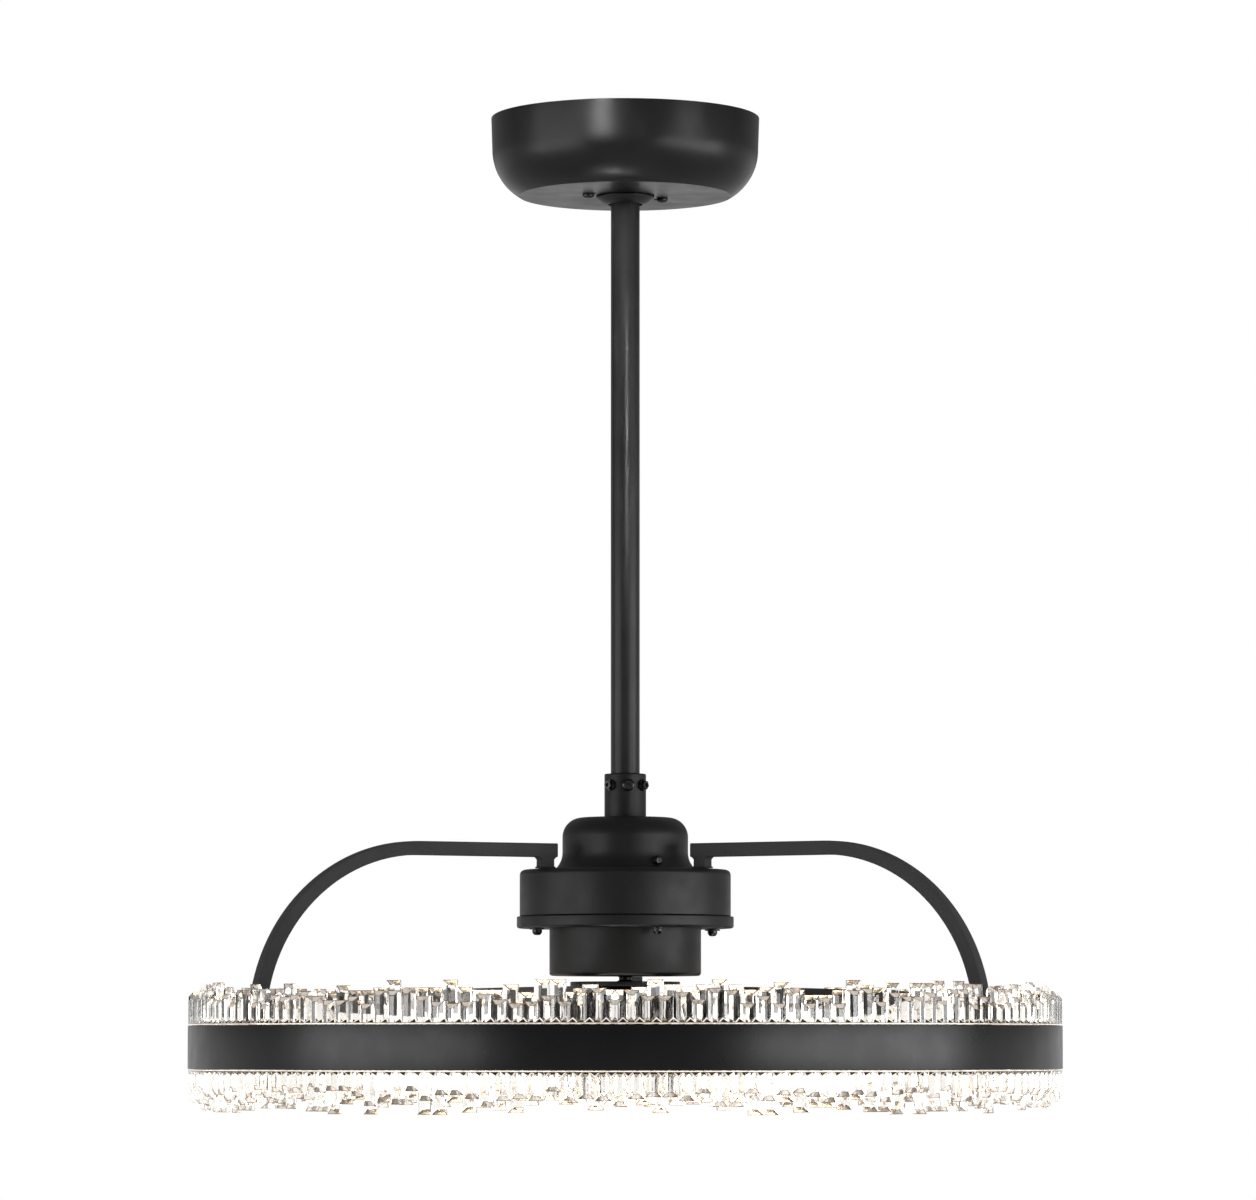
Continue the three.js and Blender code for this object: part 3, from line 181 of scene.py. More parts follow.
def metal(name, dark, light, rough, stretch=(1.0, 1.0, 1.0), grain=400.0):
    """Bare or blackened metal. stretch is how much finer its streaks are along each axis."""
    made, tree, shader = new_material(name)
    streaks = noise(tree, scale=grain, detail=4.0, stretch=stretch)
    patches = noise(tree, scale=90.0, detail=3.0)
    shader.inputs["Metallic"].default_value = 1.0
    tree.links.new(tint(tree, streaks, dark, light), shader.inputs["Base Color"])
    tree.links.new(spread(tree, patches, *rough), shader.inputs["Roughness"])
    bump(tree, [(streaks, 0.6, 0.00001)], shader)
    return made


def crystal(name, colour, rough, ripple, glow=0.0, clear=1.0, painted_slant_shade=None):
    """Clear moulded prisms with slight ripples from the mould.

    glow is painted light, emission that stands in for the strips' light that a face lets out. The colour
    aslant is painted shade, a darker colour at a slant that stands in for the dark parts seen through the
    face.
    """
    made, tree, shader = new_material(name)
    shader.inputs["Base Color"].default_value = (*colour, 1)
    if painted_slant_shade:
        # painted shade: the face darkens when it is seen at a slant
        facing = node(tree, "LayerWeight")
        facing.inputs["Blend"].default_value = 0.5
        shade = tint(tree, facing.outputs["Facing"], colour, painted_slant_shade, start=0.07, end=0.2)
        tree.links.new(shade, shader.inputs["Base Color"])
    shader.inputs["Transmission Weight"].default_value = clear
    shader.inputs["IOR"].default_value = 1.52
    haze = noise(tree, scale=500.0, detail=2.0)
    waves = noise(tree, scale=220.0, detail=2.0, stretch=(1.0, 1.0, 0.5))
    tree.links.new(spread(tree, haze, *rough), shader.inputs["Roughness"])
    bump(tree, [(waves, ripple, 0.0001)], shader)
    if glow:
        # painted glow: the face gives off warm light of its own, in specks
        shader.inputs["Emission Color"].default_value = (1.0, 0.86, 0.7, 1)
        painted_glow_specks = spread(tree, noise(tree, scale=260.0, detail=3.0), 0.5 * glow, 1.3 * glow)
        tree.links.new(painted_glow_specks, shader.inputs["Emission Strength"])
    return made


def lamp_material():
    """Warm strip whose chips show as brighter spots along the ring."""
    chips = 210.0
    made, tree, shader = new_material("warm_strip")
    place = node(tree, "TexCoord")
    split = node(tree, "SeparateXYZ")
    tree.links.new(place.outputs["Object"], split.inputs["Vector"])
    angle = joined(tree, "Math", split.outputs["Y"], split.outputs["X"], operation="ARCTAN2")
    count = joined(tree, "Math", angle, chips, operation="MULTIPLY")
    wave = joined(tree, "Math", count, operation="SINE")
    shader.inputs["Base Color"].default_value = (0.9, 0.86, 0.76, 1)
    shader.inputs["Roughness"].default_value = 0.5
    shader.inputs["Emission Color"].default_value = (1.0, 0.78, 0.52, 1)
    glow = spread(tree, wave, low=4.0, high=8.0, start=-1.0, end=1.0)
    tree.links.new(glow, shader.inputs["Emission Strength"])
    bump(tree, [(noise(tree, scale=700.0), 0.4, 0.00003)], shader)
    return made


BLACK = coated("black_gloss_coat", (0.0045, 0.0045, 0.0047), (0.007, 0.007, 0.0072), (0.3, 0.37), ior=1.31)
MOTOR = coated("black_powder_coat", (0.005, 0.005, 0.0052), (0.009, 0.009, 0.0093), (0.42, 0.52), ior=1.4)
ROD = coated(
    "black_rod_coat", (0.014, 0.014, 0.0144), (0.019, 0.019, 0.0195), (0.31, 0.35), peel=0.00001, ior=1.28
)
MATT = coated("black_arm_coat", (0.034, 0.034, 0.035), (0.043, 0.043, 0.044), (0.56, 0.66), ior=1.25)
SATIN = coated(
    "black_satin_band", (0.005, 0.005, 0.0052), (0.008, 0.008, 0.0083), (0.26, 0.32),
    grain=1400.0, depth=0.00001, peel=0.00003,
)
BLADE = coated("black_blade_coat", (0.013, 0.013, 0.0134), (0.019, 0.019, 0.0195), (0.5, 0.6), ior=1.2)
PLASTIC = coated(
    "black_moulded_plastic", (0.006, 0.006, 0.0065), (0.011, 0.011, 0.0115), (0.36, 0.46), grain=1200.0
)
SCREW_BLACK = metal("black_oxide_screw", (0.03, 0.03, 0.032), (0.06, 0.06, 0.062), (0.28, 0.4))
SHAFT_STEEL = metal(
    "blackened_shaft_steel", (0.03, 0.03, 0.032), (0.06, 0.06, 0.062), (0.28, 0.4), stretch=(1, 1, 12)
)
STEEL = metal("zinc_plated_steel", (0.5, 0.51, 0.53), (0.66, 0.67, 0.68), (0.28, 0.42))
STAMPED = metal(
    "stamped_motor_steel", (0.3, 0.31, 0.33), (0.42, 0.43, 0.44), (0.35, 0.5), (1, 1, 30), grain=60.0
)
COPPER = metal(
    "enamelled_copper", (0.42, 0.16, 0.07), (0.6, 0.26, 0.12), (0.25, 0.4), stretch=(1, 1, 8), grain=300.0
)
MAGNET = metal("dark_magnet", (0.05, 0.05, 0.055), (0.09, 0.09, 0.095), (0.45, 0.6))
CASING = coated("pale_casing", (0.62, 0.63, 0.64), (0.7, 0.71, 0.72), (0.45, 0.55), grain=1000.0)
LAMP = lamp_material()

CLEAR = ((0.985, 0.96, 0.925), (0.0, 0.05), 0.35)
CRYSTAL = crystal("clear_crystal", *CLEAR)
# Upper crown's flanks: clear crystal with painted shade that darkens them at a slant
CRYSTAL_FLANK_PAINTED_SHADE = crystal("crystal_flank_painted_shade", *CLEAR, painted_slant_shade=(0.09, 0.09, 0.087))
# Looks of a segment's faces after the clear crystal, and the faces' numbers: the flange with painted glow,
# the rims with painted warm shade, the facets with a painted cream tint and glow, the painted shade on the
# plate and chamfers, and last the flanks'.
CRYSTAL_LOOKS = (
    # painted glow: the flange gives off warm light of its own
    crystal("crystal_flange_painted_glow", (1.0, 0.97, 0.93), (0.3, 0.45), ripple=0.3, glow=0.4),
    # painted warm shade along each bevel's edge
    crystal("crystal_rim_painted_shade", (0.2, 0.1, 0.055), (0.1, 0.2), ripple=0.3, clear=0.6),
    # painted light: a cream tint and a glow in place of the strips' warm light
    crystal("crystal_facet_painted_glow", (0.92, 0.82, 0.72), (0.15, 0.3), ripple=0.5, glow=0.16),
    # painted shade: near black, almost opaque faces on the plate's edge and the chamfers
    crystal("crystal_painted_shade", (0.012, 0.012, 0.012), (0.1, 0.2), ripple=0.3, clear=0.1),
)
FLANGE_PAINTED_GLOW, RIM_PAINTED_SHADE, FACET_PAINTED_GLOW, PAINTED_SHADE, FLANK = 1, 2, 3, 4, 5


# Shapes
def spot(r, azimuth, z):
    turn = radians(azimuth)
    return Vector((r * cos(turn), r * sin(turn), z))


def filleted(corners, steps=5):
    """Points of an outline of (x, y, radius) corners, each rounded by its own radius."""
    points = []
    for i, (x, y, radius) in enumerate(corners):
        here = Vector((x, y))
        if not radius:
            points.append(here)
            continue
        before = (Vector(corners[i - 1][:2]) - here).normalized()
        after = (Vector(corners[(i + 1) % len(corners)][:2]) - here).normalized()
        half = before.angle(after) / 2
        centre = here + (before + after).normalized() * radius / sin(half)
        start = here + before * radius / tan(half) - centre
        end = here + after * radius / tan(half) - centre
        sweep = start.angle_signed(end)
        for k in range(steps + 1):
            spoke = start.copy()
            spoke.rotate(Matrix.Rotation(-sweep * k / steps, 2))
            points.append(centre + spoke)
    return [tuple(p) for p in points]


def arc(r, z, radius, start, end, steps):
    """Sharp outline corners along an arc."""
    angles = [radians(start + (end - start) * k / steps) for k in range(steps + 1)]
    return [(r + radius * cos(a), z + radius * sin(a), 0) for a in angles]


def shape(verts, faces, looks=()):
    """A welded bmesh whose faces look outwards, from points. looks are the faces' material numbers."""
    made = bmesh.new()
    placed = [made.verts.new(v) for v in verts]
    for i, face in enumerate(faces):
        made.faces.new([placed[k] for k in face]).material_index = looks[i] if looks else 0
    bmesh.ops.remove_doubles(made, verts=made.verts, dist=0.0005)
    bmesh.ops.dissolve_degenerate(made, dist=0.0005, edges=made.edges)
    bmesh.ops.recalc_face_normals(made, faces=made.faces)
    return made


def faces_between(near, far, count):
    """Faces between two closed rows of count points, which start at the numbers near and far."""
    return [(near + i, near + (i + 1) % count, far + (i + 1) % count, far + i) for i in range(count)]


def turned(corners, facets=FINE, steps=5):
    """A closed outline of (radius, height, fillet) corners turned about Z."""
    outline = filleted(corners, steps)
    count = len(outline)
    verts = [spot(r, 360 * k / facets, z) for k in range(facets) for r, z in outline]
    faces = []
    for k in range(facets):
        faces += faces_between(k * count, (k + 1) % facets * count, count)
    return shape(verts, faces)


def lofted(sections):
    """A skin over rows of points with the same count, capped at both ends."""
    count, rows = len(sections[0]), len(sections)
    verts = [p for row in sections for p in row]
    faces = []
    for s in range(rows - 1):
        faces += faces_between(s * count, (s + 1) * count, count)
    faces.append(tuple(range(count)))
    faces.append(tuple(range((rows - 1) * count, rows * count)))
    return shape(verts, faces)


def prism(corners, low, high):
    """A filleted outline of (x, y, radius) corners raised from low to high."""
    outline = filleted(corners)
    return lofted([[Vector((x, y, z)) for x, y in outline] for z in (low, high)])


def rectangle(width, height, radius, x=0.0):
    """Corners of a rounded rectangle whose centre is at x on the X axis."""
    a, b = width / 2, height / 2
    return [(x + a, b, radius), (x - a, b, radius), (x - a, -b, radius), (x + a, -b, radius)]


def tube(inner, outer, low, high, facets, steps=5):
    """A tube about Z whose inner and outer edges are (radius, fillet)."""
    corners = ((inner, low), (outer, low), (outer, high), (inner, high))
    return turned([(r, z, fillet) for (r, fillet), z in corners], facets, steps)


def plug(radius, low, high):
    """A plain round bar along Z."""
    return tube((0, 0), (radius, 0), low, high, SMALL)


def moved(made, matrix):
    bmesh.ops.transform(made, matrix=matrix, verts=made.verts)
    return made


def at(x=0.0, y=0.0, z=0.0):
    return Matrix.Translation((x, y, z))


def about(axis, angle):
    return Matrix.Rotation(radians(angle), 4, axis)


def outward(made, face, azimuth, z):
    """A shape along +Z laid along a radius, with its zero at the distance face."""
    return moved(made, about("Z", azimuth) @ at(face, 0, z) @ about("Y", 90))


def hung(made, azimuth, r, z, y=0.0):
    """A shape along +Z turned to point down, with its zero at a place beside a radius."""
    return moved(made, about("Z", azimuth) @ at(r, y, z) @ about("X", 180))


def new_object(name, data):
    obj = bpy.data.objects.new(name, data)
    bpy.context.scene.collection.objects.link(obj)
    return obj


def loose_object(made, name):
    mesh = bpy.data.meshes.new(name)
    made.to_mesh(mesh)
    made.free()
    return new_object(name, mesh)


def combined(body, others, operation):
    """body with the other shapes cut away or added, by exact booleans."""
    target = loose_object(body, "target")
    tools = [loose_object(other, "tool") for other in others]
    for tool in tools:
        step = target.modifiers.new("step", "BOOLEAN")
        step.operation = operation
        step.solver = "EXACT"
        step.object = tool
    result = bmesh.new()
    result.from_mesh(target.evaluated_get(bpy.context.evaluated_depsgraph_get()).to_mesh())
    for obj in (target, *tools):
        mesh = obj.data
        bpy.data.objects.remove(obj)
        bpy.data.meshes.remove(mesh)
    return result


def cut(body, *tools):
    return combined(body, tools, "DIFFERENCE")


def added(body, *others):
    return combined(body, others, "UNION")


def piece(name, made, material, body, stands_for="", sharp=30.0, more=()):
    """A shape as a piece that rides on a body, in place of a CAD node. Edges above sharp degrees show."""
    bmesh.ops.scale(made, vec=(MM, MM, MM), verts=made.verts)
    obj = loose_object(made, name)
    for look in (material, *more):
        obj.data.materials.append(look)
    for polygon in obj.data.polygons:
        polygon.use_smooth = sharp > 0
    if sharp > 0:
        obj.data.set_sharp_from_angle(angle=radians(sharp))
    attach(obj, body)
    if stands_for:
        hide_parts(stands_for)


# Fasteners
def cross_recess(face, size, depth):
    """Cutters for a cross in a head whose top is at height face, opening upwards."""
    half, foot, half_width, overrun = size / 2, size * 0.28, size * 0.17 / 2, 0.4
    top, bottom = face + overrun, face - depth
    outline = [(half, top), (foot, bottom), (-foot, bottom), (-half, top)]
    rows = [[Vector((x, y, z)) for x, z in outline] for y in (-half_width, half_width)]
    return [moved(lofted(rows), about("Z", turn)) for turn in (0, 90)]


def pan_head(radius, rise, shank, length, washer=0.0, washer_height=0.0):
    """A pan-head screw along +Z: its head and any washer above zero, its shank below."""
    base = washer_height
    top = base + rise
    corners = [(0, -length, 0), (shank * 0.8, -length, 0), (shank, -length + 0.6, 0), (shank, 0, 0)]
    if washer:
        corners += [(washer, 0, 0.15), (washer, base, 0.2)]
    corners += [
        (radius, base, 0.12),
        (radius, base + rise * 0.5, rise * 0.4),
        (radius * 0.62, top, rise * 0.5),
        (0, top, 0),
    ]
    return cut(turned(corners, SMALL, 4), *cross_recess(top, radius * 1.15, rise * 0.55))


def hexagon(radius, low, high, turn=0.0, chamfer=0.25):
    """A nut or a hexagonal head with chamfered ends, whose corners lie at the radius."""
    end_share = 1 - chamfer / radius
    levels = ((low, end_share), (low + chamfer, 1), (high - chamfer, 1), (high, end_share))
    return lofted([[spot(radius * share, turn + 60 * k, z) for k in range(6)] for z, share in levels])


# Canopy and what hangs from it
def canopy():
    """The bowl: a curved side, a flat underside with a hole for the rod, and a keyhole for each screw."""
    wall, curve_r, rim_r, start_r, sweep, hole_r = 1.2, 35.1, 88.5, 87.8, 60.3, 17.0
    narrow_r, wide_r, wide_turn = 2.5, 3.0, 11.72
    depth = curve_r * sin(radians(sweep))
    inner_sweep = degrees(asin((depth - wall) / (curve_r - wall)))
    centre = (start_r - curve_r, CANOPY_BOTTOM + depth)
    corners = [
        (rim_r, CANOPY_TOP, 0.3),
        *arc(*centre, curve_r, 0, -sweep, 20),
        (hole_r, CANOPY_BOTTOM, 0.25),
        (hole_r, CANOPY_BOTTOM + wall, 0.25),
        *arc(*centre, curve_r - wall, -inner_sweep, 0, 20),
        (rim_r - wall, CANOPY_TOP, 0.3),
    ]
    # half a facet of turn keeps the keyholes' corners off the bowl's facet lines
    place = at(CANOPY_SCREW_CIRCLE_R, 0, CANOPY_BOTTOM) @ about("Z", 180 / SMALL)
    holes = []
    for side in (0, 180):
        holes.append(moved(plug(narrow_r, -2, 3), about("Z", side) @ place))
        holes.append(moved(plug(wide_r, -2, 3), about("Z", side + wide_turn) @ place))
    return moved(cut(turned(corners), *holes), about("Z", BRACKET_AZIMUTH))


def collar():
    """The cone under the canopy's flat, with a neck that stands up into the canopy's hole."""
    top, foot, bore_r = CANOPY_BOTTOM - SEAT, CANOPY_BOTTOM - 5.6, 11.325
    flare_r, neck_r, neck_bore_r, neck_top = 19.2, 16.7, 15.2, CANOPY_BOTTOM + 3
    corners = [
        (bore_r, foot, 0.3),
        (bore_r + 1.5, foot, 0.6),
        (15.6, foot + 1.5, 3.0),
        (18.4, top - 1.7, 0.8),
        (flare_r, top - 1.0, 0.3),
        (flare_r, top, 0.3),
        (neck_r, top, 0),
        (neck_r, neck_top, 0.2),
        (neck_bore_r, neck_top, 0.2),
        (neck_bore_r, top - 1.2, 0.4),
        (bore_r, foot + 1.0, 0.3),
    ]
    return turned(corners, MEDIUM)


piece("canopy_shell", canopy(), BLACK, "root", "canopy")
piece("collar_cone", collar(), PLASTIC, "root", "canopy_collar")
for i, side in enumerate((0, 180), 1):
    screw = pan_head(radius=3.9, rise=2.4, shank=2.0, length=7.0)
    screw = hung(screw, BRACKET_AZIMUTH + side, CANOPY_SCREW_CIRCLE_R, CANOPY_BOTTOM - SEAT)
    piece(f"canopy_thumb_{i}", screw, SCREW_BLACK, "root", f"canopy_screw_{i}")
downrod = tube((ROD_BORE_R, 0.3), (ROD_R, 0.4), ROD_END, ROD_TOP, 72, 3)
piece("downrod_pipe", downrod, ROD, "fixture", "downrod")


# Coupling and dome
def coupling():
    """The sleeve on its round base, with the lugs that the dome is screwed to and the pin's hole."""
    base_r, base_top, bore_r = 30.0, COUPLING_BASE + 5, 7.0
    corners = [
        (bore_r, COUPLING_BASE, 0.2),
        (base_r, COUPLING_BASE, 0.3),
        (base_r, base_top, 0.5),
        (SLEEVE_R, base_top, 0.8),
        (SLEEVE_R, COUPLING_TOP, 0.9),
        (ROD_R + SEAT, COUPLING_TOP, 0.4),
        (ROD_R + SEAT, ROD_END - SEAT, 0),
        (bore_r, ROD_END - SEAT, 0),
    ]
    lugs = []
    for azimuth in DOME_SCREW_AZIMUTHS:
        lug = prism(rectangle(20.5, 10, 0.8, x=28.3), COUPLING_BASE + 0.9, COUPLING_BASE + 8.9)
        lugs.append(moved(lug, about("Z", azimuth)))
    body = added(turned(corners, MEDIUM), *lugs)
    return cut(body, outward(plug(3.3, -16, 16), 0, PIN_AZIMUTH, PIN_Z))


def coupling_pin():
    """The pin through the sleeve and the rod: a domed head, and a groove for the clip at the far end."""
    face, pin_r, groove_r, head_r = SLEEVE_R + SEAT, 3.0, 2.1, 4.1
    corners = [
        (0, -face - 4, 0),
        (pin_r, -face - 4, 0.5),
        (pin_r, -face - 1.4, 0),
        (groove_r, -face - 1.4, 0),
        (groove_r, -face, 0),
        (pin_r, -face, 0),
        (pin_r, face, 0),
        (head_r, face, 0.2),
        (head_r, face + 1.2, 0.6),
        (pin_r, face + 2, 0.6),
        (0, face + 2, 0),
    ]
    return outward(turned(corners, SMALL, 4), 0, PIN_AZIMUTH, PIN_Z)


def set_screw(azimuth):
    """A hexagonal screw with a socket in its head, and the lock nut under it."""
    stud = turned([(0, -4.1, 0), (1.6, -4.1, 0), (2.0, -3.6, 0), (2.0, 1.0, 0), (0, 1.0, 0)], SMALL)
    nut = hexagon(3.9, 0, 1.9)
    head = hexagon(3.1, 1.85, 3.6, turn=20, chamfer=0.3)
    socket = hexagon(1.5, 2.4, 5.0, turn=20, chamfer=0.01)
    return outward(cut(added(nut, head, stud), socket), SLEEVE_R + SEAT, azimuth, PIN_Z)


def dome_radius(rise):
    """The dome's radius at a height over its foot, where it flares."""
    return DOME_R + DOME_FLARE * max(0.0, 1 - rise / DOME_FLARE_HEIGHT) ** 2.4


def dome():
    """The cover over the coupling's base, open below, with its two screws' holes."""
    top, wall, shoulder = COUPLING_BASE + 33.9, 1.2, 12.8
    centre = (DOME_R - shoulder, top - shoulder)
    rises = [DOME_FLARE_HEIGHT * k / 10 for k in range(11)]
    corners = [
        *[(dome_radius(rise), COUPLING_BASE + rise, 0) for rise in rises],
        *arc(*centre, shoulder, 0, 90, 18),
        (SLEEVE_R + SEAT, top, 0.5),
        (SLEEVE_R + SEAT, top - wall, 0),
        *arc(*centre, shoulder - wall, 90, 0, 12),
        *[(dome_radius(rise) - wall, COUPLING_BASE + rise, 0) for rise in reversed(rises)],
    ]
    holes = []
    for azimuth in DOME_SCREW_AZIMUTHS:
        holes.append(outward(plug(1.8, 0, 10), 36.0, azimuth, COUPLING_BASE + DOME_SCREW_RISE))
    return cut(turned(corners), *holes)


piece("coupling_sleeve", coupling(), MOTOR, "fixture", "rod_coupling")
piece("coupling_pin_head", coupling_pin(), SCREW_BLACK, "fixture", "coupling_pin")
for name, azimuth in SET_SCREW_AZIMUTHS.items():
    piece(f"{name}_nut", set_screw(azimuth), SCREW_BLACK, "fixture", name, sharp=20.0)
piece("coupling_cover", dome(), MOTOR, "fixture", "coupling_dome")
for i, azimuth in enumerate(DOME_SCREW_AZIMUTHS, 1):
    head_r = 3.1
    screw = pan_head(radius=head_r, rise=2.0, shank=1.5, length=8.0)
    face = dome_radius(DOME_SCREW_RISE - head_r) + SEAT
    screw = outward(screw, face, azimuth, COUPLING_BASE + DOME_SCREW_RISE)
    piece(f"dome_pan_{i}", screw, SCREW_BLACK, "fixture", f"dome_screw_{i}")


# Motor
def drum():
    """The motor's housing, open below."""
    outer_r, inner_r, step_r, bore_r, wall = 69.1, 67.6, 55.0, 8.0, 2
    corners = [
        (bore_r, DRUM_TOP, 0.3),
        (outer_r, DRUM_TOP, 3.5),
        (outer_r, DRUM_BOTTOM, 0.5),
        (step_r, DRUM_BOTTOM, 0),
        (step_r, DRUM_BOTTOM + wall, 0),
        (inner_r, DRUM_BOTTOM + wall, 0),
        (inner_r, DRUM_TOP - wall, 1.6),
        (bore_r, DRUM_TOP - wall, 0),
    ]
    return turned(corners, FINE, 7)


def cover():
    """The flange under the drum, with a step that holds the cup."""
    outer_r, step_r, bore_r, step_z = 71.0, 55.0, 49.9, COVER_BOTTOM + 3.9
    corners = [
        (bore_r, COVER_BOTTOM, 0.3),
        (outer_r, COVER_BOTTOM, 1.6),
        (outer_r, COVER_TOP, 0.7),
        (step_r, COVER_TOP, 0),
        (step_r, step_z, 0),
        (bore_r, step_z, 0),
    ]
    return turned(corners, FINE, 6)


def cup():
    """The smaller drum under the flange, with a lip on top and a bearing seat round its bore."""
    outer_r, lip_r, inner_r, bore_r = 49.6, 54.7, 48.1, 9.0
    seat_r, seat_bore_r, seat_top = 16.1, 14.3, CUP_BOTTOM + 10.3
    floor_z, lip_z = CUP_BOTTOM + 2, CUP_RIM_Z - 1.5
    corners = [
        (bore_r, CUP_BOTTOM, 0.3),
        (outer_r, CUP_BOTTOM, 2.0),
        (outer_r, lip_z, 0),
        (lip_r, lip_z, 0.2),
        (lip_r, CUP_RIM_Z, 0.2),
        (inner_r, CUP_RIM_Z, 0),
        (inner_r, floor_z, 0.8),
        (seat_r, floor_z, 0),
        (seat_r, seat_top, 0.3),
        (seat_bore_r, seat_top, 0.3),
        (seat_bore_r, floor_z, 0),
        (bore_r, floor_z, 0),
    ]
    return turned(corners, FINE, 6)


piece("motor_drum", drum(), MOTOR, "fixture", "motor_housing")
piece("motor_flange", cover(), MOTOR, "fixture", "motor_cover")
piece("motor_lower_cup", cup(), MOTOR, "fixture", "motor_cup")
for i, azimuth in enumerate(COVER_SCREW_AZIMUTHS, 1):
    screw = pan_head(radius=3.2, rise=3.6, shank=2.0, length=9.6, washer=5.0, washer_height=0.9)
    screw = hung(screw, azimuth, COVER_SCREW_CIRCLE_R, COVER_BOTTOM - SEAT)
    piece(f"cover_pan_{i}", screw, SCREW_BLACK, "fixture", f"cover_screw_{i}")


# Arms
def arm_bar():
    """The square bar swept along the arm's middle line: level, a quarter turn, and down into the ring."""
    start_r, curve_r, foot_z, steps, chamfer = 52.0, 118.0, RING_Z - 8.0, 40, 0.3
    half, middle_r = ARM_BAR / 2, curve_r - ARM_BAR / 2
    centre_r, centre_z = ARM_REACH - curve_r, ARM_TOP - curve_r
    path = [(start_r, ARM_TOP - half, 90.0)]
    for k in range(steps + 1):
        angle = 90.0 - 90.0 * k / steps
        turn = radians(angle)
        path.append((centre_r + middle_r * cos(turn), centre_z + middle_r * sin(turn), angle))
    path.append((ARM_REACH - half, foot_z, 0.0))
    section = filleted(rectangle(ARM_BAR, ARM_BAR, 0.7), 3)
    rows = []
    for r, z, angle in path:
        out = Vector((cos(radians(angle)), 0, sin(radians(angle))))
        rows.append([Vector((r, 0, z)) + out * a + Vector((0, b, 0)) for a, b in section])
    # each end face is a little smaller than the bar, whose last row moves in behind it
    ends = []
    for row, outwards in ((rows[0], Vector((-1, 0, 0))), (rows[-1], Vector((0, 0, -1)))):
        middle = sum(row, Vector()) / len(row)
        ends.append([middle + (p - middle) * 0.94 for p in row])
        for p in row:
            p -= outwards * chamfer
    return lofted([ends[0], *rows, ends[1]])


def arm_post():
    """The square post between the drum and the bar: a low collar at its foot, and a flare under the bar."""
    post_r, width, flare_rise, flare, flare_steps = 59.0, 9.0, 1.6, 3.2, 6
    foot, under, depth = DRUM_TOP + SEAT, ARM_TOP - ARM_BAR, ARM_BAR - 0.2
    collar_widths = ((0, 9.8), (0.6, 10.6), (0.8, 10.4), (1.0, 9.4), (1.5, width))
    levels = [(foot + rise, wide, wide) for rise, wide in collar_widths]
    for k in range(flare_steps + 1):
        turn = radians(90.0 * k / flare_steps)
        levels.append((under - flare_rise * cos(turn), width + flare * (1 - cos(turn)), depth))
    levels.append((under + 1.0, width + flare, depth))
    rows = []
    for z, along, across in levels:
        outline = filleted(rectangle(along, across, 0.8, x=post_r), 3)
        rows.append([Vector((x, y, z)) for x, y in outline])
    return lofted(rows)


for i, azimuth in enumerate(ARM_AZIMUTHS, 1):
    arm = moved(added(arm_bar(), arm_post()), about("Z", azimuth))
    piece(f"arm_bar_{i}", arm, MATT, "fixture", f"arm_{i}", sharp=35.0)
    for level, z in (("high", RING_Z + 6.5), ("low", RING_Z - 3.5)):
        button = pan_head(radius=2.4, rise=1.5, shank=1.2, length=3.0)
        place = about("Z", azimuth) @ at(ARM_REACH - ARM_BAR, 0, z) @ about("Y", -90)
        piece(f"ring_bolt_{i}_{level}", moved(button, place), SCREW_BLACK, "fixture")


# Ring
def ring_channel():
    """The ring's inner wall, and the web that carries the strips."""
    wall_r, far_r, web = RING_INNER_R + 1.5, RING_OUTER_R - BAND_WALL - SEAT, 0.75
    corners = [
        (RING_INNER_R, BAND_BOTTOM, 0.4),
        (wall_r, BAND_BOTTOM, 0.4),
        (wall_r, RING_Z - web, 0.4),
        (far_r, RING_Z - web, 0),
        (far_r, RING_Z + web, 0),
        (wall_r, RING_Z + web, 0.4),
        (wall_r, BAND_TOP, 0.4),
        (RING_INNER_R, BAND_TOP, 0.4),
    ]
    return turned(corners, RING_FACETS, 3)


def strip(side):
    """A lit strip on the web: side is 1 above it and -1 below."""
    inner_r, outer_r, near, far = 273.95, 280.95, 1.05, 2.65
    return tube((inner_r, 0.3), (outer_r, 0.3), RING_Z + side * near, RING_Z + side * far, 240, 2)


band = tube((RING_OUTER_R - BAND_WALL, 0.3), (RING_OUTER_R, 0.45), BAND_BOTTOM, BAND_TOP, RING_FACETS, 4)
piece("band_shell", band, SATIN, "fixture", "outer_band")
piece("channel_ring", ring_channel(), MOTOR, "fixture", "ring_channel")
piece("strip_upper", strip(1), LAMP, "fixture", "led_strip_upper")
piece("strip_lower", strip(-1), LAMP, "fixture", "led_strip_lower")

# Crystal crowns: lengths along a segment are counted in steps, which are half a prism's width
PRISMS = 29
LAST_STEP = 2 * PRISMS
OUTER_R, VALLEY_R, MIDDLE_R = 284.9, 281.7, 277.6
INNER_VALLEY_R, INNER_R = 273.5, 270.3
PLATE_LINE, PLATE, VALLEY_FOOT = 0.6, 1.0, 3.9
PAINTED_SHADE_SHARE = 0.68  # part of a chamfer, below its edge of painted glow, that is painted shade
PAINTED_SHADE_R = OUTER_R + (VALLEY_R - OUTER_R) * PAINTED_SHADE_SHARE
PAINTED_SHADE_Z = PLATE + (VALLEY_FOOT - PLATE) * PAINTED_SHADE_SHARE
RIDGE_HALF = 0.34  # half width of a ridge's flat front, in steps
BACK_RIDGE = 2.4  # how far the back row's ridges stand out
BEVEL = 3.3
FRONT_HEIGHTS, FRONT_LEVELS = (12.5, 21.7), 9
BACK_HEIGHTS, BACK_LEVELS = (17.7, 26.9), 7
SEGMENTS = 6
SEGMENT_SWEEP = 360 / SEGMENTS - degrees(SEAT / OUTER_R)
STEP_SWEEP = SEGMENT_SWEEP / PRISMS / 2
SEAMS = {"upper": 216.0, "lower": 200.0}
GOLDEN = 0.618034


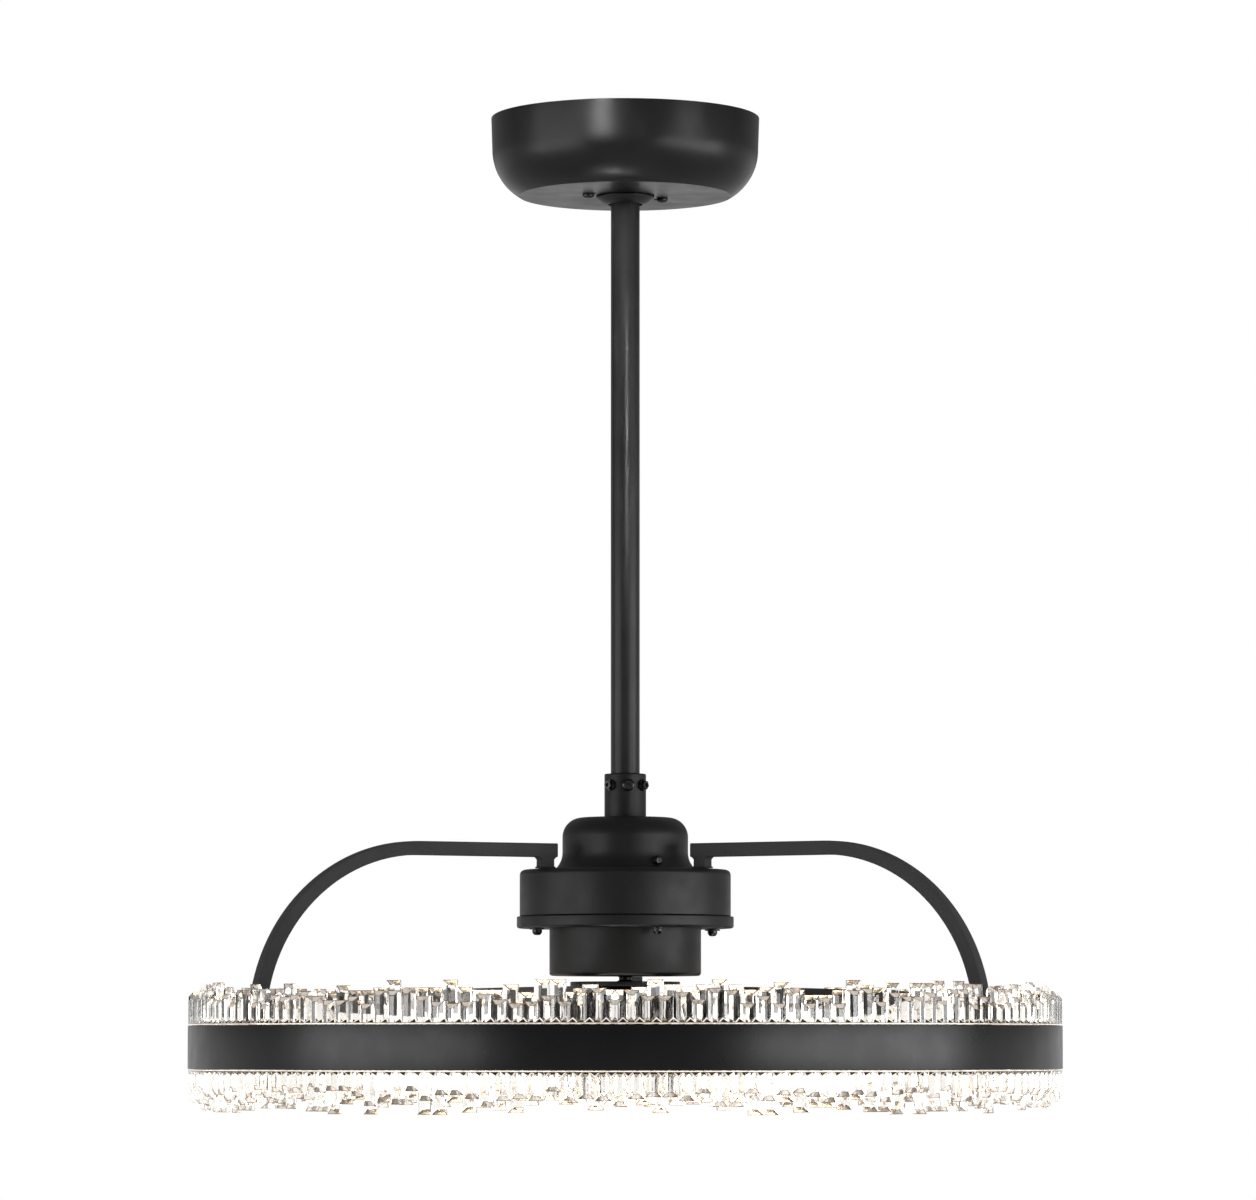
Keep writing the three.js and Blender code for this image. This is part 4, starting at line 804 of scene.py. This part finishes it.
def scattered(count, crown, heights, levels):
    """One of so many levels between two heights, which looks as if it were drawn at random."""
    low, high = heights
    share = (count * count * GOLDEN + crown / 2) % 1
    return low + (high - low) * floor(share * levels) / (levels - 1)


def middle_r(step):
    """Where the rows meet: the back row's ridges are at even steps, and its valleys at odd ones."""
    return MIDDLE_R - BACK_RIDGE * (step % 2)


def line_key(r, step):
    return round(r, 3), round(step, 4)


class Segment:
    """The faces of one segment: a front row of ridged prisms and a back row set off by a step, on one plate.

    A point is (radius, step, height). Every upright line holds the levels of all the faces that meet on it,
    so that neighbouring faces share their corners.
    """

    def __init__(self, front, back):
        self.front, self.back = front, back
        self.points, self.faces, self.looks = [], [], []
        self.numbers, self.lines = {}, {}
        for i, top in enumerate(front):
            for step in (2 * i, 2 * i + 2):
                self.hold(VALLEY_R, step, top, VALLEY_FOOT)
            for step in (2 * i, 2 * i + 1, 2 * i + 2):
                self.hold(middle_r(step), step, top)
        for j, top in enumerate(back):
            for step in (2 * j - 1, 2 * j + 1):
                self.hold(INNER_VALLEY_R, step, top, VALLEY_FOOT)
                self.hold(middle_r(step), step, top)
            self.hold(middle_r(2 * j), 2 * j, self.back_ridge_top(j))

    def hold(self, r, step, *heights):
        line = self.lines.setdefault(line_key(r, step), set())
        line.update(round(z, 4) for z in heights)

    def between(self, r, step, low, high):
        """The levels that a line holds from low to high."""
        low, high = round(low, 4), round(high, 4)
        held = self.lines.get(line_key(r, step), set()) | {low, high}
        return sorted(z for z in held if low <= z <= high)

    def number(self, r, step, z):
        """The number of a point, which is made once."""
        key = (*line_key(r, step), round(z, 4))
        if key not in self.numbers:
            self.numbers[key] = len(self.points)
            self.points.append(spot(r, step * STEP_SWEEP, z))
        return self.numbers[key]

    def face(self, corners, look=0):
        """A face whose repeated corners are left out, if it has three others."""
        loop = list(dict.fromkeys(self.number(*corner) for corner in corners))
        if len(loop) > 2:
            self.faces.append(loop)
            self.looks.append(look)

    def band(self, r, steps, low, high, look=0):
        """A face between two levels at one radius."""
        self.face([(r, s, low) for s in steps] + [(r, s, high) for s in reversed(steps)], look)

    def wall(self, a, b, levels_a, levels_b, look=0):
        """An upright face between two lines (radius, step), each with its lowest and its highest level."""
        up = [(*a, z) for z in self.between(*a, *levels_a)]
        down = [(*b, z) for z in reversed(self.between(*b, *levels_b))]
        self.face(up + down, look)

    def capped(self, j):
        """Whether a back prism has a bevel over the front row."""
        return 0 < j < PRISMS and self.back[j] - BEVEL > max(self.front[j - 1], self.front[j]) + 0.3

    def back_ridge_top(self, j):
        """Where a back prism's ridge ends: under its bevel, if it has one."""
        return self.back[j] - BEVEL if self.capped(j) else self.back[j]

    def front_prism(self, i):
        top = self.front[i]
        lip = top - BEVEL
        left, middle, right = 2 * i, 2 * i + 1, 2 * i + 2
        ridge = (middle - RIDGE_HALF, middle + RIDGE_HALF)
        marks = (left + (ridge[0] - left) * PAINTED_SHADE_SHARE, right - (right - ridge[1]) * PAINTED_SHADE_SHARE)
        edge = (left, marks[0], *ridge, marks[1], right)
        # the plate's edge, a strip of painted glow under a strip of painted shade, and its chamfers, each a
        # triangle of painted shade under painted glow
        self.band(OUTER_R, edge, 0, PLATE_LINE, FLANGE_PAINTED_GLOW)
        self.band(OUTER_R, edge, PLATE_LINE, PLATE, PAINTED_SHADE)
        for side, mark, corner in ((left, marks[0], ridge[0]), (right, marks[1], ridge[1])):
            peak, foot = (PAINTED_SHADE_R, side, PAINTED_SHADE_Z), (OUTER_R, mark, PLATE)
            self.face([(OUTER_R, side, PLATE), foot, peak], PAINTED_SHADE)
            self.face([foot, (OUTER_R, corner, PLATE), (VALLEY_R, side, VALLEY_FOOT), peak], FLANGE_PAINTED_GLOW)
        # ridge and flanks
        self.band(OUTER_R, ridge, PLATE, lip)
        self.wall((VALLEY_R, left), (OUTER_R, ridge[0]), (VALLEY_FOOT, top), (PLATE, lip), FLANK)
        self.wall((OUTER_R, ridge[1]), (VALLEY_R, right), (PLATE, lip), (VALLEY_FOOT, top), FLANK)
        # bevel, with painted glow, and top
        valleys = [(VALLEY_R, left, top), (VALLEY_R, right, top)]
        lips = [(OUTER_R, s, lip) for s in ridge]
        self.face([valleys[0], *lips, valleys[1]], FACET_PAINTED_GLOW)
        self.face(valleys + [(middle_r(s), s, top) for s in (right, middle, left)])
        # underside of the plate
        inner_edge = (right, right - RIDGE_HALF, middle, left + RIDGE_HALF, left)
        self.face([(OUTER_R, s, 0) for s in edge] + [(INNER_R, s, 0) for s in inner_edge])
        # step up or down to the next prism
        if i + 1 < PRISMS and self.front[i + 1] != top:
            levels = sorted((top, self.front[i + 1]))
            self.wall((VALLEY_R, right), (MIDDLE_R, right), levels, levels)

    def back_prism(self, j):
        top = self.back[j]
        lip = top - BEVEL
        left, middle, right = max(0, 2 * j - 1), 2 * j, min(LAST_STEP, 2 * j + 1)
        start, end = max(0, middle - RIDGE_HALF), min(LAST_STEP, middle + RIDGE_HALF)
        # the plate's edge, with painted glow
        steps = sorted({left, start, end, right})
        foot = [(INNER_R, s, 0) for s in sorted({*steps, middle})]
        self.face(foot + [(INNER_R, s, PLATE) for s in reversed(steps)], FLANGE_PAINTED_GLOW)
        # ridge, chamfers and flanks, of which the segment's ends have one each
        self.band(INNER_R, (start, end), PLATE, lip)
        if left < middle:
            valley = (INNER_VALLEY_R, left)
            self.face([(INNER_R, left, PLATE), (INNER_R, start, PLATE), (*valley, VALLEY_FOOT)])
            self.wall(valley, (INNER_R, start), (VALLEY_FOOT, top), (PLATE, lip))
        if right > middle:
            valley = (INNER_VALLEY_R, right)
            self.face([(INNER_R, end, PLATE), (INNER_R, right, PLATE), (*valley, VALLEY_FOOT)])
            self.wall((INNER_R, end), valley, (PLATE, lip), (VALLEY_FOOT, top))
        # bevels, with painted glow, and top
        valleys = [(INNER_VALLEY_R, left, top), (INNER_VALLEY_R, right, top)]
        self.face([*valleys, (INNER_R, end, lip), (INNER_R, start, lip)], FACET_PAINTED_GLOW)
        outer_steps = {left, right} if self.capped(j) else {left, middle, right}
        outer = [(middle_r(s), s, top) for s in sorted(outer_steps)]
        self.face(outer + valleys[::-1])
        if self.capped(j):
            self.face([outer[0], (MIDDLE_R, middle, lip), outer[1]], FACET_PAINTED_GLOW)
        # step up or down to the next prism
        if j < PRISMS and self.back[j + 1] != top:
            levels = sorted((top, self.back[j + 1]))
            self.wall((middle_r(right), right), (INNER_VALLEY_R, right), levels, levels)

    def row_wall(self, step):
        """The wall between the rows, from one step to the next."""
        j = (step + 1) // 2
        ahead, behind = self.front[step // 2], self.back[j]
        if ahead != behind:
            tops = [self.back_ridge_top(j) if s == 2 * j else behind for s in (step, step + 1)]
            levels = [sorted((ahead, top)) for top in tops]
            self.wall((middle_r(step), step), (middle_r(step + 1), step + 1), *levels)

    def end_face(self, step, ahead, behind):
        """The flat end of the segment at a step, beside a front and a back prism of those heights."""
        places = [
            *[(OUTER_R, z) for z in (0, PLATE_LINE, PLATE)],
            (PAINTED_SHADE_R, PAINTED_SHADE_Z),
            *[(VALLEY_R, z) for z in self.between(VALLEY_R, step, VALLEY_FOOT, ahead)],
            *[(middle_r(step), z) for z in (ahead, behind)],
            (INNER_VALLEY_R, behind),
            *[(INNER_R, z) for z in (behind - BEVEL, PLATE, 0)],
        ]
        self.face([(r, step, z) for r, z in places])


def crown_segment(front, back):
    """The mesh of a segment with prisms of the given heights, each bevel with a narrow rim."""
    segment = Segment(front, back)
    for i in range(PRISMS):
        segment.front_prism(i)
    for j in range(PRISMS + 1):
        segment.back_prism(j)
    for step in range(LAST_STEP):
        segment.row_wall(step)
    segment.end_face(0, front[0], back[0])
    segment.end_face(LAST_STEP, front[-1], back[-1])
    made = shape(segment.points, segment.faces, segment.looks)
    facets = [face for face in made.faces if face.material_index == FACET_PAINTED_GLOW]
    # each bevel gets a narrow inset rim, painted as warm shade
    rims = bmesh.ops.inset_individual(made, faces=facets, thickness=0.5, depth=-0.05, use_even_offset=True)
    for rim in rims["faces"]:
        rim.material_index = RIM_PAINTED_SHADE
    return made


def crowns():
    """Both crowns. The lower one is turned over, so its seams are counted the other way round."""
    back_offset = 400  # keeps the back row's heights apart from the front row's
    for crown, (side, seam) in enumerate(SEAMS.items()):
        # the upper crown's flanks get painted shade at a slant, the lower crown's stay clear
        looks = (*CRYSTAL_LOOKS, CRYSTAL if crown else CRYSTAL_FLANK_PAINTED_SHADE)
        over = at(0, 0, RING_Z) @ about("X", 180.0 * crown) @ at(0, 0, BAND_HALF + SEAT)
        for k in range(SEGMENTS):
            counts = range(k * PRISMS, (k + 1) * PRISMS + 1)
            front = [scattered(count, crown, FRONT_HEIGHTS, FRONT_LEVELS) for count in counts[:-1]]
            back = [scattered(count + back_offset, crown, BACK_HEIGHTS, BACK_LEVELS) for count in counts]
            turn = (-seam if crown else seam) + 360 / SEGMENTS * k
            made = moved(crown_segment(front, back), over @ about("Z", turn))
            node_name = f"crystal_{side}_{k + 1}"
            piece(f"crown_{side}_{k + 1}", made, CRYSTAL, "fixture", node_name, sharp=0.0, more=looks)


crowns()


# Rotor
def smooth(share):
    share = min(1.0, max(0.0, share))
    return share * share * (3 - 2 * share)


BLADE_ROOT_R, BLADE_PAD_R, BLADE_FULL_R, BLADE_TIP_R = 13.0, 28.0, 70.0, 245.4
PAD_WIDTH, FULL_WIDTH, TIP_WIDTH = 17.0, 70.0, 52.0
FULL_PITCH, PITCH_LOSS = 18.0, 5.0  # degrees, and how many of them are lost on the way to the tip
BLADE_DROP = 9.6  # how far the pitched blade's middle lies below the pad's
BLADE_SCREW_CIRCLE_R = 30.2
PAD_Z = HUB_TOP - HUB_THICK - SEAT - BLADE_THICK / 2


def blade_section(r):
    """A closed row of points round the blade: a flat pad, which twists into a cambered and pitched blade."""
    columns = 16
    twist = smooth((r - BLADE_PAD_R) / (BLADE_FULL_R - BLADE_PAD_R))
    out = max(0.0, (r - BLADE_FULL_R) / (BLADE_TIP_R - BLADE_FULL_R))
    pitch = radians(twist * (FULL_PITCH - PITCH_LOSS * out))
    rounding = max(0.0, out - 0.8) / 0.2
    width = FULL_WIDTH + (TIP_WIDTH - FULL_WIDTH) * out**2
    chord = (PAD_WIDTH + (width - PAD_WIDTH) * twist) * sqrt(1 - 0.6 * rounding**4)
    camber = chord * 0.05 * twist
    level = PAD_Z - BLADE_DROP * twist
    upper, lower = [], []
    for k in range(columns + 1):
        share = -0.5 * cos(pi * k / columns)
        crown = 1 - (2 * share) ** 2
        thick = (BLADE_THICK * 0.35 + BLADE_THICK * 0.65 * crown) * twist + BLADE_THICK * (1 - twist)
        thick *= min(1.0, sqrt(max(0.0, 1 - abs(2 * share) ** 14)) + 0.02)
        for side, row in ((1, upper), (-1, lower)):
            y, z = share * chord, camber * crown + side * thick / 2
            across = y * cos(pitch) - z * sin(pitch)
            row.append(Vector((r, across, level + y * sin(pitch) + z * cos(pitch))))
    return upper + lower[::-1]


def blade():
    """A blade along X, under the hub's plate."""
    stations = 46
    radii = [BLADE_PAD_R + (BLADE_TIP_R - BLADE_PAD_R) * k / stations for k in range(stations + 1)]
    return lofted([blade_section(r) for r in (BLADE_ROOT_R, 20.0, *radii)])


def hub():
    """A round plate on a sleeve."""
    plate_r, sleeve_r, bore_r, sleeve_end = 35.9, 11.0, 6.3, HUB_TOP - 18
    corners = [
        (bore_r, sleeve_end, 0.3),
        (sleeve_r, sleeve_end, 0.5),
        (sleeve_r, HUB_TOP - HUB_THICK, 0.8),
        (plate_r, HUB_TOP - HUB_THICK, 0.5),
        (plate_r, HUB_TOP, 0.6),
        (bore_r, HUB_TOP, 0.3),
    ]
    return turned(corners)


def cap():
    """A dish under the blades' roots, whose section is a quarter of an ellipse."""
    width, depth, wall = 26.0, 17.0, 1.6
    rim = HUB_TOP - HUB_THICK - SEAT - BLADE_THICK - SEAT
    angles = [radians(a) for a in range(-85, 1, 5)]
    outer = [(width * cos(a), rim + depth * sin(a), 0) for a in angles]
    width, depth = width - wall, depth - wall
    inner = [(width * cos(a), rim + depth * sin(a), 0) for a in reversed(angles)]
    return turned([(0, rim - depth - wall, 0), *outer, *inner, (0, rim - depth, 0)], MEDIUM)


def shaft():
    """The shaft, with a neck between the cup and the hub."""
    full, neck = 6.0, 4.1
    corners = [
        (0, SHAFT_BOTTOM, 0),
        (full - 0.5, SHAFT_BOTTOM, 0),
        (full, SHAFT_BOTTOM + 0.5, 0.2),
        (full, HUB_TOP + 0.2, 0.3),
        (neck, HUB_TOP + 1.0, 0.6),
        (neck, CUP_BOTTOM - 0.8, 0.6),
        (full, CUP_BOTTOM, 0.3),
        (full, SHAFT_TOP - 0.5, 0.2),
        (full - 0.5, SHAFT_TOP, 0),
        (0, SHAFT_TOP, 0),
    ]
    return turned(corners, 64)


for i, azimuth in enumerate(BLADE_AZIMUTHS, 1):
    made = moved(blade(), about("Z", azimuth))
    piece(f"blade_skin_{i}", made, BLADE, "rotor", f"blade_{i}", sharp=50.0)
    for k, y in enumerate((-4.6, 4.6), 1):
        screw = pan_head(radius=2.4, rise=1.6, shank=1.2, length=2.5)
        screw = hung(screw, azimuth, BLADE_SCREW_CIRCLE_R, PAD_Z - BLADE_THICK / 2 - 0.1, y)
        piece(f"blade_pan_{i}_{k}", screw, SCREW_BLACK, "rotor")
piece("rotor_shaft", shaft(), SHAFT_STEEL, "rotor", "motor_shaft")
piece("rotor_hub", hub(), MOTOR, "rotor", "blade_hub")
piece("rotor_cap", cap(), PLASTIC, "rotor", "hub_cap")

# CAD nodes that keep their own shape
KEPT = (
    (STEEL, "bracket_steel", ("ceiling_bracket", "hanger_ball", "hanger_pin", "pin_clip")),
    (STEEL, "motor_steel", ("arm_screw_1", "arm_screw_2", "arm_screw_3")),
    (CASING, "control_casing", ("remote_receiver", "light_driver")),
    (STAMPED, "motor_steel", ("bearing_plate", "bearing_upper", "bearing_lower", "stator_core")),
    (COPPER, "copper_winding", ("stator_winding",)),
    (MAGNET, "magnet", ("rotor_magnet",)),
)
for material, slot, names in KEPT:
    for name in names:
        obj = frame["nodes"][name]
        obj.data.materials.clear()
        obj.data.materials.append(material)
        for polygon in obj.data.polygons:
            polygon.material_index = 0


# Stage, light and camera, in metres
FLOOR_Z, FLOOR_THICK, FLOOR_SIDE = -4.8, 0.02, 30.0


def stage_floor():
    """A pale floor, which shows white to the camera where nothing shades it."""
    outline = rectangle(FLOOR_SIDE / MM, FLOOR_SIDE / MM, 0)
    made = prism(outline, (FLOOR_Z - FLOOR_THICK) / MM, FLOOR_Z / MM)
    bmesh.ops.scale(made, vec=(MM, MM, MM), verts=made.verts)
    obj = loose_object(made, "floor")
    paint, tree, shader = new_material("pale_floor")
    shader.inputs["Base Color"].default_value = (0.9, 0.9, 0.9, 1)
    shader.inputs["Roughness"].default_value = 0.7
    shader.inputs["Emission Color"].default_value = (1, 1, 1, 1)
    path = node(tree, "LightPath")
    lift = joined(tree, "Math", path.outputs["Is Camera Ray"], 0.45, operation="MULTIPLY")
    tree.links.new(lift, shader.inputs["Emission Strength"])
    obj.data.materials.append(paint)


def area_light(name, azimuth, z, aim_z, size, power, distance=3.2, beam=180):
    """A soft box that aims at a height on the axis. Its azimuth is counted from the camera to the right."""
    lamp = bpy.data.lights.new(name, "AREA")
    lamp.shape = "RECTANGLE"
    lamp.size, lamp.size_y = size
    lamp.energy = power
    lamp.spread = radians(beam)
    obj = new_object(name, lamp)
    angle = radians(azimuth)
    obj.location = (distance * sin(angle), -distance * cos(angle), z)
    aim = Vector((0, 0, aim_z)) - Vector(obj.location)
    obj.rotation_euler = aim.to_track_quat("-Z", "Y").to_euler()


def ring_glow():
    """What the strips throw upwards through the crystals."""
    lamp = bpy.data.lights.new("ring_glow", "AREA")
    lamp.shape = "DISK"
    lamp.size = 0.5
    lamp.energy = 0.15
    lamp.color = (1.0, 0.8, 0.6)
    obj = new_object("ring_glow", lamp)
    obj.location = (0, 0, RING_Z * MM)
    obj.rotation_euler = (pi, 0, 0)
    obj.visible_camera = False
    obj.visible_transmission = False


def world():
    """A white backdrop all round. In gloss, the camera's side of the room and the ceiling are dim."""
    made = bpy.data.worlds.new("studio")
    bpy.context.scene.world = made
    made.use_nodes = True
    tree = made.node_tree
    tree.nodes.clear()
    out = node(tree, "OutputWorld")
    path = node(tree, "LightPath")
    place = node(tree, "TexCoord")
    split = node(tree, "SeparateXYZ")
    tree.links.new(place.outputs["Generated"], split.inputs["Vector"])
    sides = spread(tree, split.outputs["Y"], low=0.2, high=0.8, start=-0.7, end=1.1)
    ceiling = spread(tree, split.outputs["Z"], low=1.0, high=0.35, start=0.03, end=0.09)
    graded = joined(tree, "Math", sides, ceiling, operation="MULTIPLY")
    white = (1, 1, 1, 1)
    backdrop = joined(tree, "Background", white, 1.0)
    room = joined(tree, "Background", white, graded)
    fill = joined(tree, "Background", white, 0.55)
    seen_rays = (path.outputs["Is Camera Ray"], path.outputs["Is Transmission Ray"])
    seen = joined(tree, "Math", *seen_rays, operation="MAXIMUM")
    in_gloss = joined(tree, "MixShader", path.outputs["Is Glossy Ray"], fill, room)
    in_sight = joined(tree, "MixShader", seen, in_gloss, backdrop)
    tree.links.new(in_sight, out.inputs["Surface"])


def lights():
    """Two broad soft boxes, and dim narrow beams on the canopy and on the upper half of the rod."""
    area_light("key_right", 62, z=-0.6, aim_z=-0.55, size=(3.5, 1.0), power=60, distance=3.0)
    area_light("fill_left", -62, z=-0.6, aim_z=-0.55, size=(2.9, 1.0), power=36, distance=3.0)
    ring_glow()
    area_light("canopy_key", -20, z=0.56, aim_z=0.1, size=(0.5, 0.32), power=0.4, beam=7)
    for i, azimuth in enumerate((-78, -62, -46, 50, 62), 1):
        name = f"canopy_side_{i}"
        area_light(name, azimuth, z=0.41, aim_z=-0.03, size=(0.75, 0.2), power=0.03, beam=6)
    spot_size = (0.3, 0.2)
    area_light("canopy_spot", -42, z=-3.45, aim_z=-0.065, size=spot_size, power=0.045, distance=0.64, beam=5)
    area_light("rod_streak_high", 13, z=0.22, aim_z=-0.184, size=(0.1, 0.2), power=0.035, beam=3)
    area_light("rod_streak_low", 13, z=0.0, aim_z=-0.257, size=(0.1, 0.2), power=0.01, beam=4)


def photo_camera():
    """The photo's view: level with the ring, tilted up, with the axis just left of the middle."""
    distance, aside, tilt = 4.0, 0.0018, 4.19
    camera = new_object("camera", bpy.data.cameras.new("camera"))
    camera.data.lens = 175.0
    camera.data.sensor_width = 36.0
    camera.data.clip_end = 100.0
    camera.location = (aside, -distance, RING_Z * MM)
    camera.rotation_euler = (radians(90 + tilt), 0, 0)
    bpy.context.scene.camera = camera


stage_floor()
world()
lights()
photo_camera()
bpy.context.scene.view_settings.view_transform = "Standard"
